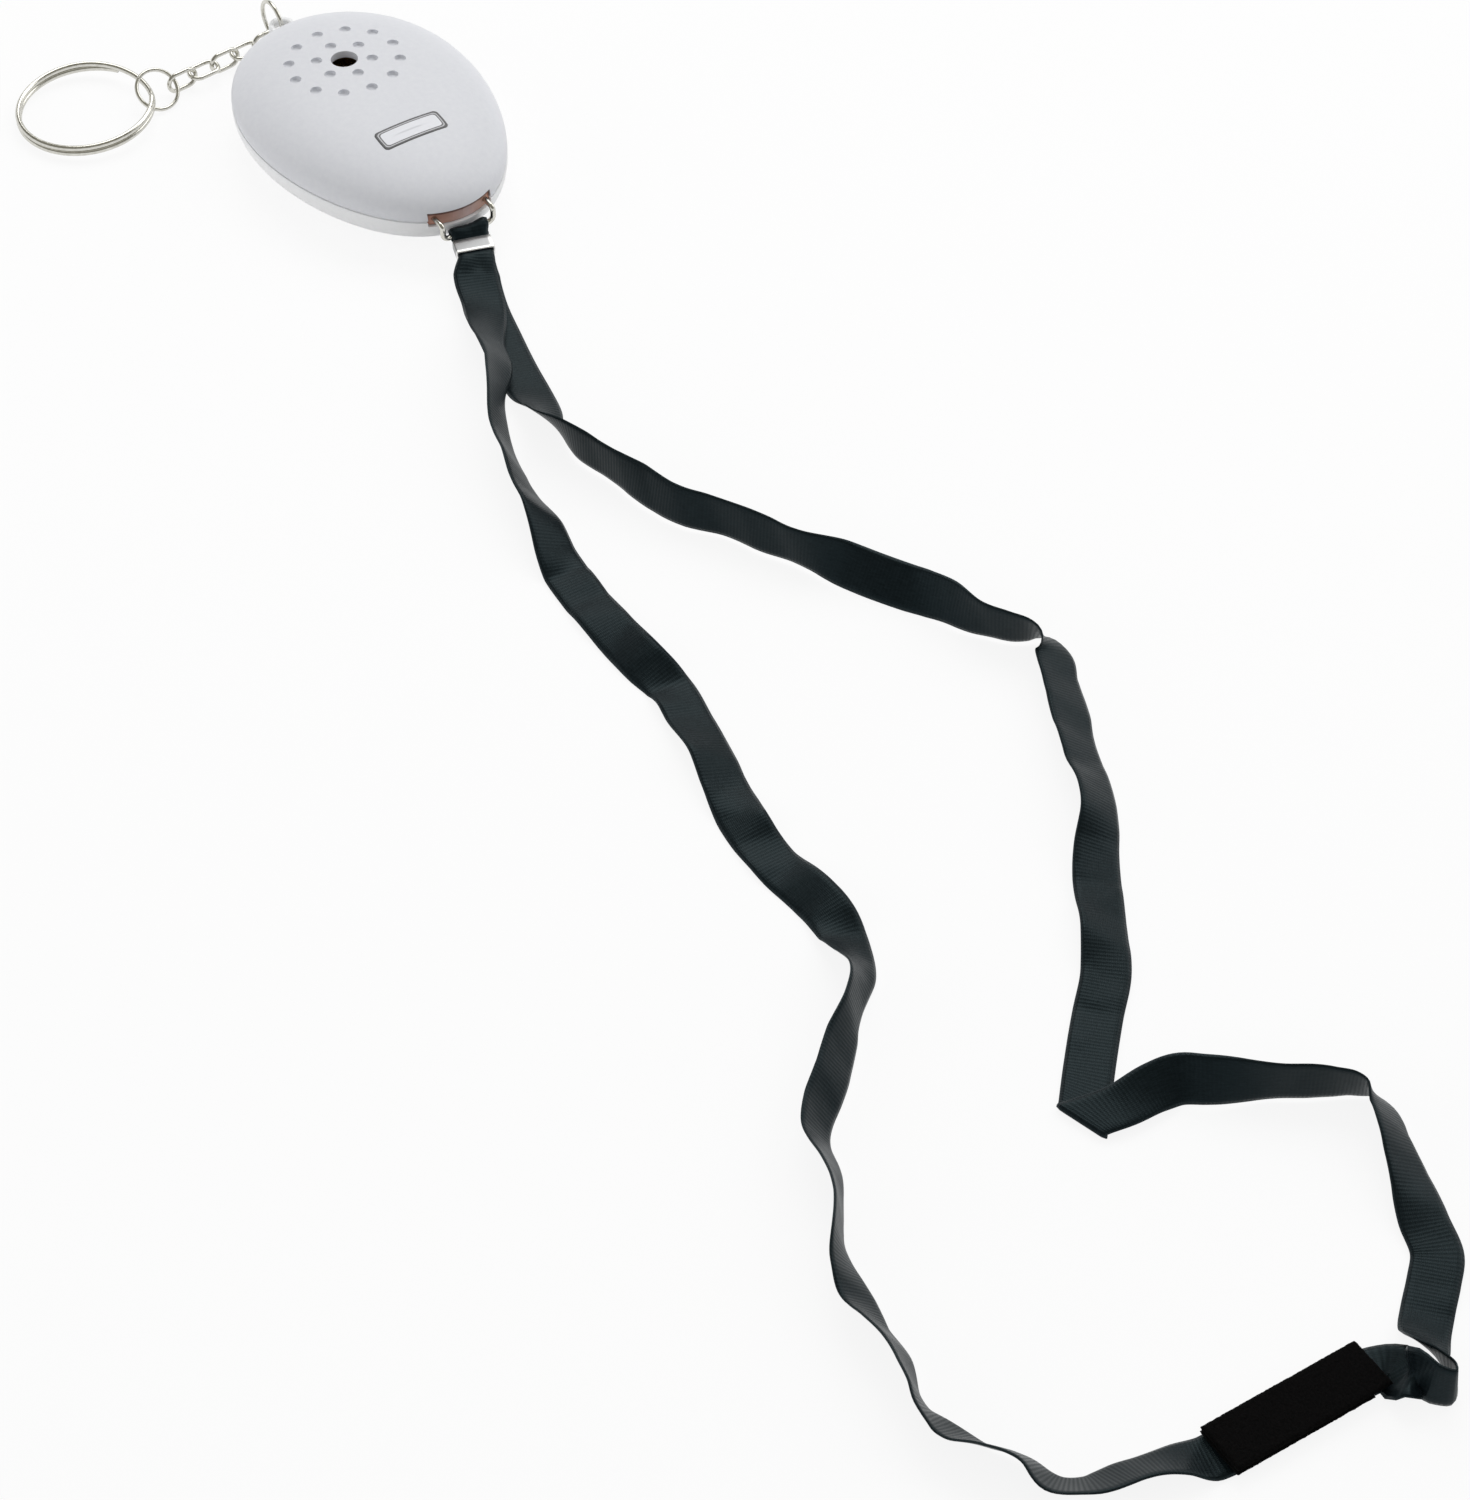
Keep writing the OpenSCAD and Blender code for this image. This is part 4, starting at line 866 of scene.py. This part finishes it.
def on_chain(points, distance, high, lean):
    """Puts a flat wire shape on the chain's line: leaned about the line, moved along it, turned to
    the chain's heading and set at the lug ring's place."""
    moved = spun(points, 1, lean) - np.array([0, distance, 0])
    return spun(moved, 2, CHAIN_TURN) + CHAIN_START + np.array([0, 0, high])


def leaned_up(lean):
    """The direction square to a flat shape that on_chain has leaned."""
    return on_chain([(0, 0, 1.0)], 0, 0, lean)[0] - CHAIN_START


def circle(mean, steps=96):
    """A flat circle about the origin."""
    a = np.linspace(0, 2 * np.pi, steps, endpoint=False)
    return np.stack([mean * np.cos(a), mean * np.sin(a), np.zeros(steps)], -1)


def oval(mean, straight, steps=72):
    """A flat link: a circle pulled apart along Y by its straight length."""
    line = circle(mean, steps)
    line[:, 1] += np.where(np.arange(steps) < steps / 2, straight, -straight) / 2
    return line


lug_line = spun(circle(LUG_RING_MEAN), 0, np.pi / 2) + CHAIN_START
lug_line[:, 2] += CHAIN_HIGH + LUG_RING_MEAN
chain = [("lug_ring_wire", "lug_ring", "lug_ring", lug_line, LINK_R, (0, 1, 0))]
for index, lean in enumerate(LINK_LEANS):
    line = on_chain(oval(LINK_MEAN, LINK_STRAIGHT), LINK_FIRST + index * LINK_STEP, CHAIN_HIGH, lean)
    number = 5 - index
    chain.append((f"oval_link_{number}", f"chain_link_{number}", f"link_{number}", line, LINK_R,
                  leaned_up(lean)))
jump_line = on_chain(circle(JUMP_MEAN), JUMP_AT, JUMP_HIGH, JUMP_LEAN)
chain.append(("jump_ring_wire", "jump_ring", "jump_ring", jump_line, JUMP_R, leaned_up(JUMP_LEAN)))
for piece_name, node_name, body_name, line, radius, flat_side in chain:
    piece = new_piece(piece_name, wire(line, radius, closed=True, across=flat_side), body_name, plated)
    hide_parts(node_name)

key_angle = np.radians(np.linspace(0, 360 * 1.84, 320))
key_step = np.clip((np.degrees(key_angle) - 320) / 80, 0, 1)
key_line = np.stack([KEY_MEAN * np.cos(key_angle + KEY_FIRST), KEY_MEAN * np.sin(key_angle + KEY_FIRST),
                     KEY_PITCH * (key_step**2 * (3 - 2 * key_step) - 0.5)], -1)
key_tilt = np.arcsin((JUMP_HIGH - KEY_REST) / (2 * KEY_MEAN))
key_line = spun(key_line - np.array([0, KEY_MEAN, 0]), 0, key_tilt)
key_line = on_chain(spun(key_line, 2, KEY_TURN), KEY_AT, JUMP_HIGH, 0)
key_ring = new_piece("split_ring_wire", wire(key_line, KEY_R, across=(0, 0, 1)), "key_ring", plated)
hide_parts("key_ring")


# STAGE
# A plain white table top and soft studio light. The table is white to the camera and in
# reflections, and still takes the object's soft shadow.
TABLE_REACH, TABLE_LEVEL, TABLE_GLOW, SKY_STRENGTH = 8.0, -0.0002, 0.88, 0.44
LAMP_AIM = 0.12, -0.02, 0
CAMERA_PLACE, CAMERA_AIM = (0.6303, -0.3246, 0.5604), (0.1764, -0.0299, 0)


def looked_at(tree):
    """One for rays from the camera and for those that reach it by gloss or through glass."""
    ray = add_node(tree, "LightPath").outputs
    either = worked_out(tree, "MAXIMUM", ray["Is Camera Ray"], ray["Is Glossy Ray"])
    return worked_out(tree, "MAXIMUM", either, ray["Is Transmission Ray"])


def aimed(thing, place, target):
    """Stands a lamp or a camera at a place, turned to look at a target."""
    stand = bpy.data.objects.new(thing.name, thing)
    stand.location = place
    stand.rotation_euler = (Vector(target) - Vector(place)).to_track_quat("-Z", "Y").to_euler()
    bpy.context.scene.collection.objects.link(stand)
    return stand


table_white = new_finish("table_top", Base_Color=(0.94, 0.94, 0.94, 1), Roughness=0.9, Specular_IOR_Level=0.0)
table_tree = table_white.node_tree
glow = add_node(table_tree, "Emission", Color=(1, 1, 1, 1), Strength=1.0)
glow_share = worked_out(table_tree, "MULTIPLY", looked_at(table_tree), TABLE_GLOW)
table_mix = add_node(table_tree, "MixShader", glow_share, table_tree.nodes["Principled BSDF"].outputs[0],
                     glow.outputs[0])
set_sockets(table_tree.nodes["Material Output"], {"Surface": table_mix.outputs[0]})
table_corners = [(x * TABLE_REACH, y * TABLE_REACH, TABLE_LEVEL)
                 for x, y in ((-1, -1), (1, -1), (1, 1), (-1, 1))]
table = new_piece("table_top", (table_corners, [[0, 1, 2, 3]]), None, table_white)

world = bpy.data.worlds.new("studio")
bpy.context.scene.world = world
world.use_nodes = True
sky = world.node_tree
sky_light = sky.nodes["Background"]
set_sockets(sky_light, {"Color": (1, 1, 1, 1), "Strength": SKY_STRENGTH})
sky_way = add_node(sky, "SeparateXYZ", add_node(sky, "TexCoord").outputs["Generated"]).outputs["Z"]
sky_tone = tones(sky, sky_way, ((0.3, (1, 1, 1)), (0.46, (0.16, 0.155, 0.13)), (0.8, (0.3, 0.29, 0.25))))
sky_seen = add_node(sky, "Background", sky_tone, 1.0)
sky_mix = add_node(sky, "MixShader", looked_at(sky), sky_light.outputs[0], sky_seen.outputs[0])
set_sockets(sky.nodes["World Output"], {"Surface": sky_mix.outputs[0]})

for lamp_name, place, size, power in (("softbox_over", (-0.5, 0.42, 0.9), 0.8, 5.6),
                                      ("softbox_side", (0.15, 1.05, 0.75), 0.8, 4.0),
                                      ("softbox_low", (-0.3, -1.12, 0.26), 0.9, 4.0)):
    lamp = bpy.data.lights.new(lamp_name, "AREA")
    lamp.shape, lamp.size, lamp.energy = "SQUARE", size, power
    aimed(lamp, place, LAMP_AIM).visible_glossy = lamp_name != "softbox_low"

camera = bpy.data.cameras.new("camera")
camera.lens, camera.sensor_width, camera.sensor_fit = 108.0, 36.0, "AUTO"
bpy.context.scene.camera = aimed(camera, CAMERA_PLACE, CAMERA_AIM)
bpy.context.scene.view_settings.view_transform = "Standard"
